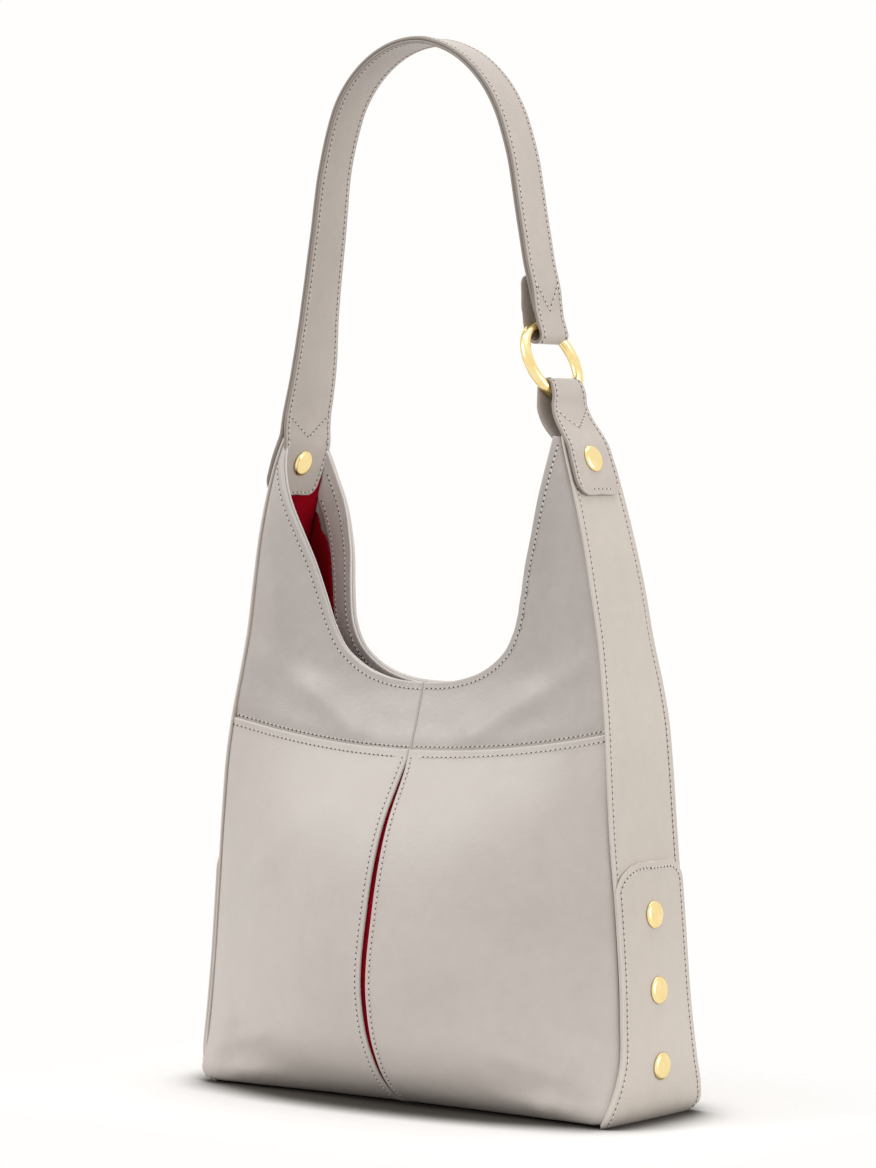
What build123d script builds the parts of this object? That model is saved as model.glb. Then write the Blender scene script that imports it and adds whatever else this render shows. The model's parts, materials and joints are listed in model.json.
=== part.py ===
"""Hobo bag: leather walls, lining, base, studs, ring and shoulder strap.

Millimetres. The origin is the middle of the underside, +Z is up, the front faces -Y and the ring is at +X.
Every soft piece is a thin solid of its real thickness, in the place that it has on the standing bag.
"""

import os
from math import cos, radians, sin, sqrt, tan

from build123d import *

# ---- driving dimensions -------------------------------------------------------------------------------
LEATHER = 2.0  # outer walls and base
PATCH = 1.6  # reinforcement on each side
FACING = 1.2  # leather band inside the mouth
LINING = 0.8  # suede
BOARD = 1.6  # stiff board in the base
PLY = 1.6  # one layer of the strap or of the ring tab
EASE = 0.2  # air between two layers that lie on each other
BULGE = 0.8  # how far a side wall bows outwards at its middle

# Horizontal sections of the outer surface: height, half width, half depth at the side seams, and half depth
# at the middle of the front. Above the neckline only the two horns are left of each section.
SECTIONS = [
    (2.4, 117.2, 36.8, 32.0),
    (10, 120.6, 35.0, 43.0),
    (25, 122.2, 30.6, 53.4),
    (50, 121.0, 27.2, 60.8),
    (90, 118.2, 26.0, 56.6),
    (130, 114.6, 26.0, 44.4),
    (160, 112.2, 25.4, 28.6),
    (180, 109.8, 24.2, 17.8),
    (196, 107.2, 22.8, 11.0),
    (215, 104.2, 20.8, 9.0),
    (240, 99.8, 19.4, 12.0),
    (262, 95.4, 18.2, 20.0),
    (285, 88.4, 17.4, 31.0),
    (300, 83.8, 18.2, 30.0),
    (306, 82.6, 18.4, 30.0),
]
HORN_TIP = 306.0
NECKLINE = [(0, 193.5), (36, 197), (54, 214), (61, 235), (66.5, 258), (74, 281), (81, 301)]
FACING_EDGE = [(0, 167.5), (40, 171), (66, 190), (84, 222), (101, 256)]
FACING_FOOT, FACING_TOP = 273.0, 303.0  # lower and upper ends of the side facings
SEAM_MIDDLE, SEAM_SIDE = 164.0, 175.5  # height of the seam between yoke and lower panel
SLIT_FOOT, SLIT_TOP, SLIT_HALF = 8.0, 157.0, 1.2
SLIT_INSET_HALF = 9.0
PATCH_TOP, PATCH_CORNER = 117.0, 12.0

STUD_RADIUS, STUD_HEIGHT = 6.25, 1.6
POST_RADIUS, POST_EASE = 1.5, 0.1
SIDE_STUD_HEIGHTS = [24.8, 58.85, 92.9]
BACK_CAP_RADIUS, BACK_CAP_HEIGHT = 4.5, 0.8
HORN_STUD_HEIGHT = 298.0
SNAP_HEIGHT, SNAP_RADIUS = 181.0, 8.0

RING_CENTRE = (62.4, 343.0)  # in the XZ plane
RING_RADIUS, WIRE_RADIUS, RING_TILT = 17.7, 2.5, 25.0
CHANNEL_RADIUS = 2.9  # half the width of the way that a leather loop leaves for the wire

# The strap's middle line in the XZ plane, from its left end over the crown to the ring.
STRAP_LINE = [
    (-82.0, 318.0),
    (-78.9, 336),
    (-75.8, 370),
    (-70.8, 407),
    (-64.6, 443),
    (-52, 472.5),
    (-32, 489),
    (-10, 494),
    (14, 486.5),
    (34, 467.5),
    (44.8, 443),
    (51.0, 412),
    (56.6, 380),
    (58.4, 364),
]
STRAP_HALF = 11.0
STRAP_FLARE = [(318, 17.0), (346, 15.5), (365, 13.6), (402, 12.4), (440, 11.0)]
TAIL_HEIGHT = 381.0  # upper end of the layer that comes back up from the ring
FOLD_HEIGHT = 318.0  # the strap and the ring tab fold forwards and backwards about this line
FOLD_SLOPE, FOLD_GAP = 21.5, 0.35  # bevel on both sides of the fold, in degrees, and the gap at its tip

FAR = 200.0  # past the bag in every direction


# ---- helpers ------------------------------------------------------------------------------------------
def rate(column, row):
    """Change of a section value per millimetre of height, from the sections above and below."""
    low, high = SECTIONS[max(row - 1, 0)], SECTIONS[min(row + 1, len(SECTIONS) - 1)]
    return (high[column] - low[column]) / (high[0] - low[0])


def front_wall(depth, thickness, side_gap):
    """A layer of the front: its outer face lies depth inside the outer surface, and it is thickness thick.

    The plan of a section is a parabola from side seam to side seam.
    """
    with BuildPart() as layer:
        for row, (height, width, side, middle) in enumerate(SECTIONS):
            half = width - side_gap

            def point(share, inset, row=row, half=half, width=width, side=side, middle=middle):
                crown = 1 - (half * share / width) ** 2
                lean = rate(2, row) * (1 - crown) + rate(3, row) * crown
                return (half * share, -(side + (middle - side) * crown - inset * sqrt(1 + lean**2)))

            with BuildSketch(Plane.XY.offset(height)):
                with BuildLine():
                    outer = Spline(*[point(s, depth) for s in (-1, -0.5, 0, 0.5, 1)])
                    inner = Spline(*[point(s, depth + thickness) for s in (-1, -0.5, 0, 0.5, 1)])
                    Line(outer @ 0, inner @ 0)
                    Line(outer @ 1, inner @ 1)
                make_face()
        loft()
    return layer.part


def side_wall(depth, thickness, edge_gap):
    """A layer of the right side, bowed outwards, with its depth and thickness as on the front."""
    with BuildPart() as layer:
        for height, width, side, _ in SECTIONS:
            with BuildSketch(Plane.XY.offset(height)):
                x_out, x_in, edge = width - depth, width - depth - thickness, side - edge_gap
                with BuildLine():
                    outer = ThreePointArc((x_out, -edge), (x_out + BULGE, 0), (x_out, edge))
                    inner = ThreePointArc((x_in, -edge), (x_in + BULGE, 0), (x_in, edge))
                    Line(outer @ 0, inner @ 0)
                    Line(outer @ 1, inner @ 1)
                make_face()
        loft()
    return layer.part


def save(piece, name):
    """Labels a finished piece and writes it to its own file."""
    piece.label = name
    export_step(piece, f"parts/{name}.step")


def mirrored(piece, plane):
    """The same piece on the other side of a plane through the origin."""
    with BuildPart() as other:
        add(piece)
        mirror(about=plane, mode=Mode.REPLACE)
    return other.part


def kept(piece, outline):
    """What is left of a piece inside an outline, looked at square to the outline's plane."""
    with BuildPart() as rest:
        add(piece)
        extrude(outline, amount=FAR, both=True, mode=Mode.INTERSECT)
    return rest.part


def bored(piece, *planes):
    """A piece with a round hole along each plane's normal, for a stud's post."""
    with BuildPart() as rest:
        add(piece)
        with Locations(*planes):
            Cylinder(POST_RADIUS + POST_EASE, 24, mode=Mode.SUBTRACT)
    return rest.part


def outer_plane(piece, start, direction):
    """The plane on a piece's furthest face where a line from start leaves it."""
    way = Vector(direction)
    hits = piece.find_intersection_points(Axis(start, direction))
    point, normal = max(hits, key=lambda hit: hit[0].dot(way))
    if normal.dot(way) < 0:
        normal = -normal
    return Plane(origin=point, x_dir=(0, 1, 0), z_dir=normal)


def stud(plane, reach):
    """A flat-domed cap on the plane, with a bevelled rim and a post that goes reach below it."""
    with BuildPart(plane) as rivet:
        with BuildSketch(plane.offset(EASE / 2)):
            Circle(STUD_RADIUS)
        extrude(amount=STUD_HEIGHT)
        rim = rivet.edges().sort_by(Axis(plane.origin, plane.z_dir))[-1]
        chamfer(rim, length=0.55 * STUD_HEIGHT)
        with BuildSketch(plane.offset(EASE / 2)):
            Circle(POST_RADIUS)
        extrude(amount=-reach)
    return rivet.part


def washer(plane, radius, height):
    """A round cap on the plane, bored for a stud's post."""
    with BuildPart() as cap:
        with BuildSketch(plane.offset(EASE / 2)):
            Circle(radius)
            Circle(POST_RADIUS + POST_EASE, mode=Mode.SUBTRACT)
        extrude(amount=height)
    return cap.part


def ribbon(line, near, far):
    """A face between two lines that run beside a line in the XZ plane, near and far to its left."""
    steps = [i / 24 for i in range(25)]

    def beside(step, gap):
        spot, along = line.position_at(step), line.tangent_at(step)
        return (spot.X - gap * along.Z, spot.Z + gap * along.X)

    with BuildSketch(Plane.XZ) as face:
        with BuildLine():
            low = Spline(*[beside(s, near) for s in steps])
            high = Spline(*[beside(s, far) for s in steps])
            Line(low @ 0, high @ 0)
            Line(low @ 1, high @ 1)
        make_face()
    return face.sketch


os.makedirs("parts", exist_ok=True)

# Heights at which the stiff board and the wall linings start, above the base leather.
board_foot = LEATHER + 0.3
lining_foot = board_foot + BOARD + 0.3 + LINING + 0.3

# ---- outlines of the front's panels, on the XZ plane -----------------------------------------------------
middle_gap = EASE / 2
with BuildSketch(Plane.XZ) as yoke_outline:
    with BuildLine():
        rim = Spline(*NECKLINE, tangents=((1, 0), (0.35, 1)))
        Polyline(rim @ 1, (140, 330), (140, SEAM_SIDE + 4.6), (111, SEAM_SIDE + EASE))
        ThreePointArc((111, SEAM_SIDE + EASE), (56, SEAM_MIDDLE + 2.95 + EASE), (0, SEAM_MIDDLE + EASE))
        Line((0, SEAM_MIDDLE + EASE), rim @ 0)
    make_face()
    with Locations((0, 180)):
        Rectangle(2 * middle_gap, 60, mode=Mode.SUBTRACT)

with BuildSketch(Plane.XZ) as panel_outline:
    with BuildLine():
        slit = ThreePointArc((middle_gap, SLIT_FOOT), (SLIT_HALF, (SLIT_FOOT + SLIT_TOP) / 2),
                             (middle_gap, SLIT_TOP))
        Polyline(slit @ 0, (middle_gap, -10), (140, -10), (140, SEAM_SIDE + 4.4), (111, SEAM_SIDE))
        ThreePointArc((111, SEAM_SIDE), (56, SEAM_MIDDLE + 2.95), (middle_gap, SEAM_MIDDLE))
        Line((middle_gap, SEAM_MIDDLE), slit @ 1)
    make_face()

with BuildSketch(Plane.XZ) as facing_outline:
    with BuildLine():
        rim = Spline(*NECKLINE, tangents=((1, 0), (0.35, 1)))
        edge = Spline(*FACING_EDGE, tangents=((1, 0), (0.5, 1)))
        Polyline(rim @ 1, (140, 330), (140, 256), edge @ 1)
        Line(edge @ 0, rim @ 0)
    make_face()
    mirror(about=Plane.YZ)

with BuildSketch(Plane.XZ) as lining_outline:
    with BuildLine():
        edge = Spline(*[(x, z - EASE) for x, z in FACING_EDGE], tangents=((1, 0), (0.5, 1)))
        Polyline(edge @ 1, (140, 256 - EASE), (140, lining_foot), (0, lining_foot), edge @ 0)
    make_face()
    mirror(about=Plane.YZ)

# ---- outer leather of the front and the back -------------------------------------------------------------
side_gap = LEATHER + 0.3
leather_front = front_wall(0, LEATHER, side_gap)
front_yoke_right = kept(leather_front, yoke_outline.sketch)
front_panel_right = kept(leather_front, panel_outline.sketch)
front_pieces = {"yoke": front_yoke_right, "panel": front_panel_right}
for name, piece in front_pieces.items():
    save(piece, f"front_{name}_right")
    save(mirrored(piece, Plane.YZ), f"front_{name}_left")

back_yoke_right = mirrored(front_yoke_right, Plane.XZ)
save(back_yoke_right, "back_yoke_right")
save(mirrored(back_yoke_right, Plane.YZ), "back_yoke_left")
with BuildSketch(Plane.XZ) as back_outline:
    with BuildLine():
        Polyline((0, -10), (140, -10), (140, SEAM_SIDE + 4.4), (111, SEAM_SIDE))
        ThreePointArc((111, SEAM_SIDE), (56, SEAM_MIDDLE + 2.95), (0, SEAM_MIDDLE))
        Line((0, SEAM_MIDDLE), (0, -10))
    make_face()
    mirror(about=Plane.YZ)
save(mirrored(kept(leather_front, back_outline.sketch), Plane.XZ), "back_panel")

# Red suede behind the slit, from the base to the seam.
with BuildSketch(Plane.XZ) as inset_outline:
    with Locations((0, (SEAM_MIDDLE - 2 + 5) / 2)):
        Rectangle(2 * SLIT_INSET_HALF, SEAM_MIDDLE - 2 - 5)
slit_inset = kept(front_wall(LEATHER + EASE, LINING, side_gap), inset_outline.sketch)
save(slit_inset, "slit_inset")

# ---- side walls, patches and their studs -----------------------------------------------------------------
gusset = side_wall(0, LEATHER, 0)
patch_space = side_wall(-EASE - PATCH, PATCH, 0.2)
with BuildSketch(Plane.YZ) as patch_outline:
    with Locations((0, PATCH_TOP / 2)):
        patch_shape = Rectangle(2 * 24.9, PATCH_TOP)
    top_corners = patch_outline.vertices().group_by(Axis.Z)[-1]
    fillet(top_corners, PATCH_CORNER)
    with Locations((0, 20)):
        Rectangle(90, 40)
side_patch = kept(patch_space, patch_outline.sketch)
stud_planes = [outer_plane(side_patch, (0, 0, height), (1, 0, 0)) for height in SIDE_STUD_HEIGHTS]
horn_planes = [outer_plane(gusset, (0, 0, HORN_STUD_HEIGHT), (1, 0, 0))]
side_patch = bored(side_patch, *stud_planes)
whole_gusset = gusset
gusset = bored(gusset, *stud_planes, *horn_planes)
save(side_patch, "side_patch_right")
save(mirrored(side_patch, Plane.YZ), "side_patch_left")
save(gusset, "gusset_right")
save(mirrored(gusset, Plane.YZ), "gusset_left")

stack = PATCH + LEATHER + EASE
with BuildPart() as side_studs:
    for plane in stud_planes:
        add(stud(plane, stack + BACK_CAP_HEIGHT))
with BuildPart() as stud_backs:
    for plane in stud_planes:
        add(washer(plane.offset(-stack - 2 * EASE - BACK_CAP_HEIGHT), BACK_CAP_RADIUS, BACK_CAP_HEIGHT))
for name, group in (("side_studs", side_studs), ("side_stud_backs", stud_backs)):
    save(group.part, f"{name}_right")
    save(mirrored(group.part, Plane.YZ), f"{name}_left")

# ---- base ---------------------------------------------------------------------------------------------------
def base_plate(low, thickness, inset):
    """A flat plate in plan of the lowest section, inset all round."""
    _, width, side, middle = SECTIONS[0]
    half, side, middle = width - inset, side - inset, middle - inset
    with BuildPart() as plate:
        with BuildSketch(Plane.XY.offset(low)):
            with BuildLine():
                ThreePointArc((-half, -side), (0, -middle), (half, -side))
                ThreePointArc((half, -side), (half + BULGE, 0), (half, side))
                ThreePointArc((half, side), (0, middle), (-half, side))
                ThreePointArc((-half, side), (-half - BULGE, 0), (-half, -side))
            make_face()
        extrude(amount=thickness)
    return plate.part


save(base_plate(0, LEATHER, 0.5), "base_panel")
save(base_plate(board_foot, BOARD, 6.5), "base_board")
save(base_plate(board_foot + BOARD + 0.3, LINING, 7), "lining_base")

# ---- leather facing inside the mouth, and the lining ----------------------------------------------------------
facing_depth = LEATHER + EASE
lining_depth = LEATHER + EASE + LINING + 0.3
lining_gap = lining_depth + LINING + 0.3
lining_edge = LEATHER + 1.3
facing_front = kept(front_wall(facing_depth, FACING, lining_gap), facing_outline.sketch)
side_facing = side_wall(facing_depth, FACING, lining_edge)
with BuildSketch(Plane.YZ) as side_facing_outline:
    with Locations((0, (FACING_FOOT + FACING_TOP) / 2)):
        Rectangle(60, FACING_TOP - FACING_FOOT)
side_facing = bored(kept(side_facing, side_facing_outline.sketch), *horn_planes)
save(facing_front, "facing_front")
save(mirrored(facing_front, Plane.XZ), "facing_back")
save(side_facing, "facing_side_right")
save(mirrored(side_facing, Plane.YZ), "facing_side_left")

lining_front = kept(front_wall(lining_depth, LINING, lining_gap), lining_outline.sketch)
with BuildSketch(Plane.YZ) as side_lining_outline:
    with Locations((0, (FACING_FOOT - EASE + lining_foot) / 2)):
        Rectangle(90, FACING_FOOT - EASE - lining_foot)
side_lining = kept(side_wall(lining_depth, LINING, lining_edge), side_lining_outline.sketch)
save(lining_front, "lining_front")
save(mirrored(lining_front, Plane.XZ), "lining_back")
save(side_lining, "lining_side_right")
save(mirrored(side_lining, Plane.YZ), "lining_side_left")

# ---- magnetic snap ------------------------------------------------------------------------------------------
snap_plane = outer_plane(facing_front, (0, -60, SNAP_HEIGHT), (0, 1, 0))
with BuildPart() as snap_socket:
    with BuildSketch(snap_plane.offset(EASE)):
        Circle(SNAP_RADIUS)
    extrude(amount=2.2)
    with BuildSketch(snap_plane.offset(EASE + 2.2)):
        Circle(3.2)
    extrude(amount=-1.4, mode=Mode.SUBTRACT)
save(snap_socket.part, "magnetic_snap_socket")
with BuildPart() as snap_button:
    with BuildSketch(snap_plane.offset(EASE)):
        Circle(SNAP_RADIUS)
    extrude(amount=1.4)
    with BuildSketch(snap_plane.offset(EASE + 1.4)):
        Circle(2.8)
    extrude(amount=1.3)
save(mirrored(snap_button.part, Plane.XZ), "magnetic_snap_button")

# ---- leather leaves on the horns, below the fold ----------------------------------------------------------
bevel = tan(radians(FOLD_SLOPE))
fold_low, fold_high = FOLD_HEIGHT - FOLD_GAP, FOLD_HEIGHT + FOLD_GAP
horn_stack = LEATHER + EASE + FACING  # side wall with its facing


def leaf(gap, foot, tip, foot_half, top_half, corner):
    """One ply beside the right side wall, from its rounded foot over the horn's tip to the fold's ridge.

    Its middle runs gap outside the wall, and above the horn through the points in tip.
    """
    heights = [foot - 2, (foot + HORN_STUD_HEIGHT) / 2, HORN_STUD_HEIGHT, HORN_TIP - 0.5]
    beside_wall = [(outer_plane(whole_gusset, (0, 0, z), (1, 0, 0)).origin.X + gap, z) for z in heights]
    with BuildLine(Plane.XZ) as middle:
        Spline(*beside_wall, *tip)
    shoulder = fold_low - top_half * bevel
    with BuildSketch(Plane.YZ) as outline:
        with Locations((0, (foot + HORN_TIP) / 2)):
            Rectangle(2 * foot_half, HORN_TIP - foot)
        fillet(outline.vertices().group_by(Axis.Z)[0], corner)
        with BuildLine():
            Polyline((-foot_half, HORN_TIP - 4), (-top_half, shoulder), (0, fold_low), (top_half, shoulder),
                     (foot_half, HORN_TIP - 4), close=True)
        make_face()
    with BuildPart() as ply:
        extrude(ribbon(middle.edge(), -PLY / 2, PLY / 2), amount=30, both=True)
        extrude(outline.sketch, amount=FAR, both=True, mode=Mode.INTERSECT)
    return bored(ply.part, *horn_planes)


outer_gap = EASE + 0.1 + PLY / 2
inner_gap = -(horn_stack + EASE + 0.6 + PLY / 2)
strap_end_outer = leaf(outer_gap, 282, [(84.1, 313), (82.9, 321)], 15.5, 17.0, 9)
strap_end_inner = leaf(inner_gap, 276.5, [(81.1, 314), (80.4, 321)], 13.5, 17.0, 8)
ring_tab_outer = leaf(outer_gap, 282, [(83.2, 312.2), (77.8, 320.4)], 15.5, 12.0, 9)
ring_tab_inner = leaf(inner_gap, 276.5, [(79.9, 311.2), (75.6, 318.7)], 13.5, 12.0, 8)
save(mirrored(strap_end_outer, Plane.YZ), "strap_end_outer")
save(mirrored(strap_end_inner, Plane.YZ), "strap_end_inner")
save(ring_tab_outer, "ring_tab_outer")
save(ring_tab_inner, "ring_tab_inner")

# The rivet through both leaves, with a cap on each side.
rivet_plane = horn_planes[0].offset(outer_gap + PLY / 2 + 0.15)
horn_depth = outer_gap - inner_gap + PLY + 0.3
horn_rivet = stud(rivet_plane, horn_depth + STUD_HEIGHT)
horn_cap = washer(rivet_plane.offset(-horn_depth - EASE - STUD_HEIGHT), STUD_RADIUS - 1, STUD_HEIGHT)
save(horn_rivet, "tab_rivet")
save(horn_cap, "tab_rivet_cap")
save(mirrored(horn_rivet, Plane.YZ), "strap_rivet")
save(mirrored(horn_cap, Plane.YZ), "strap_rivet_cap")

# ---- ring ------------------------------------------------------------------------------------------------------
lean = radians(RING_TILT)
ring_plane = Plane(origin=(RING_CENTRE[0], 0, RING_CENTRE[1]), x_dir=(0, 1, 0), z_dir=(cos(lean), 0, sin(lean)))
with BuildPart(ring_plane) as ring:
    Torus(RING_RADIUS, WIRE_RADIUS)
save(ring.part, "ring")

# A leather loop is as wide as the strap, so inside it the ring's wire curves away from its nearest point by
# the arc's height, and its cut across there is longer than the wire is thick.
arc_height = RING_RADIUS - sqrt(RING_RADIUS**2 - STRAP_HALF**2)
long_cut = WIRE_RADIUS * RING_RADIUS / sqrt(RING_RADIUS**2 - STRAP_HALF**2)
channel_run = arc_height + long_cut + 0.3 - CHANNEL_RADIUS


def loop_slots(side):
    """Loop and channel round the ring's wire, side -1 at its foot and 1 at its top, as faces in the XZ plane."""
    distance = side * (RING_RADIUS - channel_run / 2)
    centre = (RING_CENTRE[0] - distance * sin(lean), RING_CENTRE[1] + distance * cos(lean))
    faces = []
    for radius in (CHANNEL_RADIUS + PLY, CHANNEL_RADIUS):
        with BuildSketch(Plane.XZ) as slot:
            with Locations(centre):
                SlotCenterToCenter(channel_run, 2 * radius, rotation=90 + RING_TILT)
        faces.append(slot.sketch)
    return faces


# ---- the ring tab's loop, above the fold -----------------------------------------------------------------------
with BuildPart() as ring_tab_loop:
    loop, channel = loop_slots(-1)
    extrude(loop, amount=STRAP_HALF, both=True)
    with BuildLine(Plane.XZ, mode=Mode.PRIVATE) as neck:
        Line((79.6, 316.3), (71.8, 325.7))
    extrude(ribbon(neck.edge(), -PLY - EASE / 2, PLY + EASE / 2), amount=STRAP_HALF, both=True)
    extrude(channel, amount=FAR, both=True, mode=Mode.SUBTRACT)
    with BuildSketch(Plane.YZ) as above_fold:
        with BuildLine():
            Polyline((0, fold_high), (30, fold_high + 30 * bevel), (30, 400), (-30, 400),
                     (-30, fold_high + 30 * bevel), close=True)
        make_face()
    extrude(above_fold.sketch, amount=FAR, both=True, mode=Mode.INTERSECT)
save(ring_tab_loop.part, "ring_tab_loop")

# ---- the strap's two plies, above the fold ---------------------------------------------------------------------
with BuildLine(Plane.XZ) as strap_line:
    Spline(*STRAP_LINE)
edge = [(half, height) for height, half in STRAP_FLARE]
edge[0] = (edge[0][0], fold_high + edge[0][0] * bevel)
with BuildPart() as strap_space:
    with BuildSketch(Plane.YZ.offset(-120)):
        with BuildLine():
            Polyline((0, fold_high), *edge, (STRAP_HALF, 520), (-STRAP_HALF, 520),
                     *[(-y, z) for y, z in reversed(edge)], close=True)
        make_face()
    extrude(amount=90)
    with BuildSketch(Plane.YZ.offset(-30)):
        with Locations((0, 425)):
            Rectangle(2 * STRAP_HALF, 190)
    extrude(amount=130)

with BuildPart() as strap_outer:
    extrude(ribbon(strap_line.edge(), -PLY - EASE / 2, -EASE / 2), amount=22, both=True)
    with Locations((60, 0, TAIL_HEIGHT - 50)):
        Box(60, 60, 100, mode=Mode.INTERSECT)
    extrude(ribbon(strap_line.edge(), -EASE / 2, PLY + EASE / 2), amount=22, both=True)
    loop, channel = loop_slots(1)
    extrude(loop, amount=STRAP_HALF, both=True)
    extrude(channel, amount=FAR, both=True, mode=Mode.SUBTRACT)
    add(strap_space.part, mode=Mode.INTERSECT)
save(strap_outer.part, "strap_outer")

with BuildPart() as strap_inner:
    extrude(ribbon(strap_line.edge(), -PLY - EASE / 2, -1.5 * EASE), amount=22, both=True)
    with Locations((60, 0, TAIL_HEIGHT + EASE - 50)):
        Box(60, 60, 100, mode=Mode.SUBTRACT)
    add(strap_space.part, mode=Mode.INTERSECT)
save(strap_inner.part, "strap_inner")
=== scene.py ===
"""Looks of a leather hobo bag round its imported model: walls, facing, lining, strap, ring, studs, seams.

Every piece is a surface worked out on a grid of two parameters. Sizes are in metres, and those with names
ending in _MM are in millimetres, in the row frame: +Z up, the front faces -Y, the ring is at +X.
"""

import json

import bpy
import numpy as np
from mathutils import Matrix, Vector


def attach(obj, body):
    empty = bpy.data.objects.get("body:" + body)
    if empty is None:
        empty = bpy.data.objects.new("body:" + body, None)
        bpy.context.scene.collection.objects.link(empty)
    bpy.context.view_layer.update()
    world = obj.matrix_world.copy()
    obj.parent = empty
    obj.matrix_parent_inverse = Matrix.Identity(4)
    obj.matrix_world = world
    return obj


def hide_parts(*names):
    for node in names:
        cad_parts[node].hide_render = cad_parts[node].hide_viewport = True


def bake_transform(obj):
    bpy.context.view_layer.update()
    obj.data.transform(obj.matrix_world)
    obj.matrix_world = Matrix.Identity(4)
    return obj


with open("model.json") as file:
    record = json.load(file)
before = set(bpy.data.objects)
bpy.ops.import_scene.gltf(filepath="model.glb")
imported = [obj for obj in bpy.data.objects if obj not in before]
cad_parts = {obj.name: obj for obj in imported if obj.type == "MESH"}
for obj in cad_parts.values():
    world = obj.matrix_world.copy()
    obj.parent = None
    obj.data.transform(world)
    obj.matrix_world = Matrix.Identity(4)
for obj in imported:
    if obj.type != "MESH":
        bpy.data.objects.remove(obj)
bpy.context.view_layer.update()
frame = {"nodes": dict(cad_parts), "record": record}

MM = 0.001

# ---- shape of the bag, in millimetres -------------------------------------------------------------------
# Sections of the outer surface: height, half width, then half depths at the side seams and in the middle, for
# the front and then for the back. A minus depth of the back lies in front of the middle plane.
SECTIONS_MM = np.array([
    (0, 113.5, 33.0, 27.5, 33.0, 27.5),
    (2.4, 117.0, 35.6, 33.0, 35.8, 33.0),
    (6, 119.2, 36.0, 38.6, 36.4, 38.6),
    (12, 120.6, 33.7, 44.6, 34.6, 44.6),
    (25, 121.8, 29.4, 53.4, 30.0, 53.4),
    (50, 120.7, 26.9, 60.7, 26.8, 60.7),
    (90, 117.9, 26.0, 56.8, 25.9, 56.8),
    (130, 114.4, 26.4, 45.0, 26.0, 45.0),
    (160, 112.0, 25.4, 28.0, 26.0, 28.0),
    (180, 109.6, 23.5, 19.5, 26.3, 14.0),
    (196, 107.0, 21.8, 15.6, 25.2, 1.0),
    (215, 103.8, 20.3, 15.6, 22.7, -4.5),
    (240, 99.6, 20.6, 19.0, 21.2, 1.0),
    (262, 95.6, 20.9, 26.0, 18.6, 14.0),
    (285, 89.8, 20.9, 36.0, 16.8, 29.0),
    (298, 85.8, 20.4, 38.0, 15.8, 29.0),
    (306, 83.0, 19.4, 38.0, 13.6, 27.0),
    (316, 79.6, 17.0, 34.0, 9.5, 25.0),
])
# The rim of the mouth and the lower edge of the facing inside it: x and z from the middle to the horn.
NECKLINE_MM = np.array([
    (0, 194.9), (10, 195.2), (22, 196.9), (35.2, 201.4), (42.4, 206), (47.5, 210.6), (53.1, 220), (58, 235),
    (62.5, 250), (68.3, 265), (73.9, 280), (76.9, 290), (78.6, 298), (79.4, 304), (79.6, 309),
])
FACING_EDGE_MM = np.array([
    (0, 168), (30, 169), (50, 178), (62, 200), (69, 225), (73.5, 240), (80, 258), (86, 272), (90, 282),
    (92, 292),
])
SEAM_MIDDLE_MM, SEAM_SIDE_MM, SEAM_REACH_MM = 164.0, 175.5, 111.0
PANEL_FOOT_MM, LINING_FOOT_MM = 0.6, 5.4  # heights of the lower panels' and the lining's bottom edges
SLIT_FOOT_MM, SLIT_TOP_MM, SLIT_HALF_MM = 1.0, 158.0, 1.55
PATCH_TOP_MM = 117.0
PATCH_CORNER_MM = {-1: (22.0, 15.0), 1: (12.0, 11.0)}  # breadth and height of the front and the back corner
HORN_TIP_MM = 309.0
HORN_LEAN_MM = 1.8
SIDE_STUDS_MM = (24.8, 58.85, 92.9)
HORN_STUD_MM = 298.0
BULGE_MM = 0.8  # how far a side wall swells out in its middle
SIDE_MM = 1.5  # thickness of the sides
WALL_THICK, FACING_THICK, PATCH_THICK, BASE_THICK, SUEDE_THICK = 0.0020, 0.0013, 0.0014, 0.0016, 0.0008
TUCK_MM = 0.9  # how far the front's and the back's side edges stay inside the side walls' outer surface
LAP_MM = 0.3  # how far the side walls' turned edges stand in front of the front and the back
GRID_MM, RIM_MM = 2.6, 1.4  # step of a wall's grid, and the width of its finer border

# The strap's own line, x and z, from the left horn over its top down to the ring.
STRAP_LINE_MM = np.array([
    (-81.2, 321.0), (-78.9, 336), (-75.8, 370), (-70.8, 407), (-64.6, 443), (-52, 472.5), (-32, 489),
    (-10, 494), (14, 486.5), (34, 467.5), (44.8, 443), (51.0, 412), (55.6, 384), (58.6, 368),
])
STRAP_HALF_MM = 10.9
PLY_MM = 1.5
RING_CENTRE_MM = np.array([62.4, 343.0])
RING_RADIUS_MM, WIRE_RADIUS_MM, RING_TILT = 17.7, 2.5, np.radians(25.0)

STITCH_PITCH = 0.0026
STITCH_INSET_MM = 3.3  # from an edge to the row of stitches beside it
LINE_POINTS = 240  # points on the smooth lines of the rim and the facing's edge
SLOPE_STEP_MM = 0.5  # reach to each side over which a surface's slope is measured


# ---- curves ---------------------------------------------------------------------------------------------
def through(knots, values, at):
    """Cubic Hermite curve through values at the knots; each knot's slope comes from its two neighbours."""
    knots, values, at = np.asarray(knots, float), np.asarray(values, float), np.asarray(at, float)
    slopes = np.gradient(values, knots, axis=0)
    low = np.clip(np.searchsorted(knots, at) - 1, 0, len(knots) - 2)
    span = knots[low + 1] - knots[low]
    t = (at - knots[low]) / span
    if values.ndim > 1:
        t, span = t[..., None], span[..., None]
    rise = values[low] * (1 + 2 * t) * (1 - t) ** 2 + values[low + 1] * t**2 * (3 - 2 * t)
    return rise + span * (slopes[low] * t * (1 - t) ** 2 - slopes[low + 1] * t**2 * (1 - t))


def lengths(points):
    """Distance along a polyline at each of its points."""
    return np.concatenate([[0], np.cumsum(np.linalg.norm(np.diff(points, axis=0), axis=1))])


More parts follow.
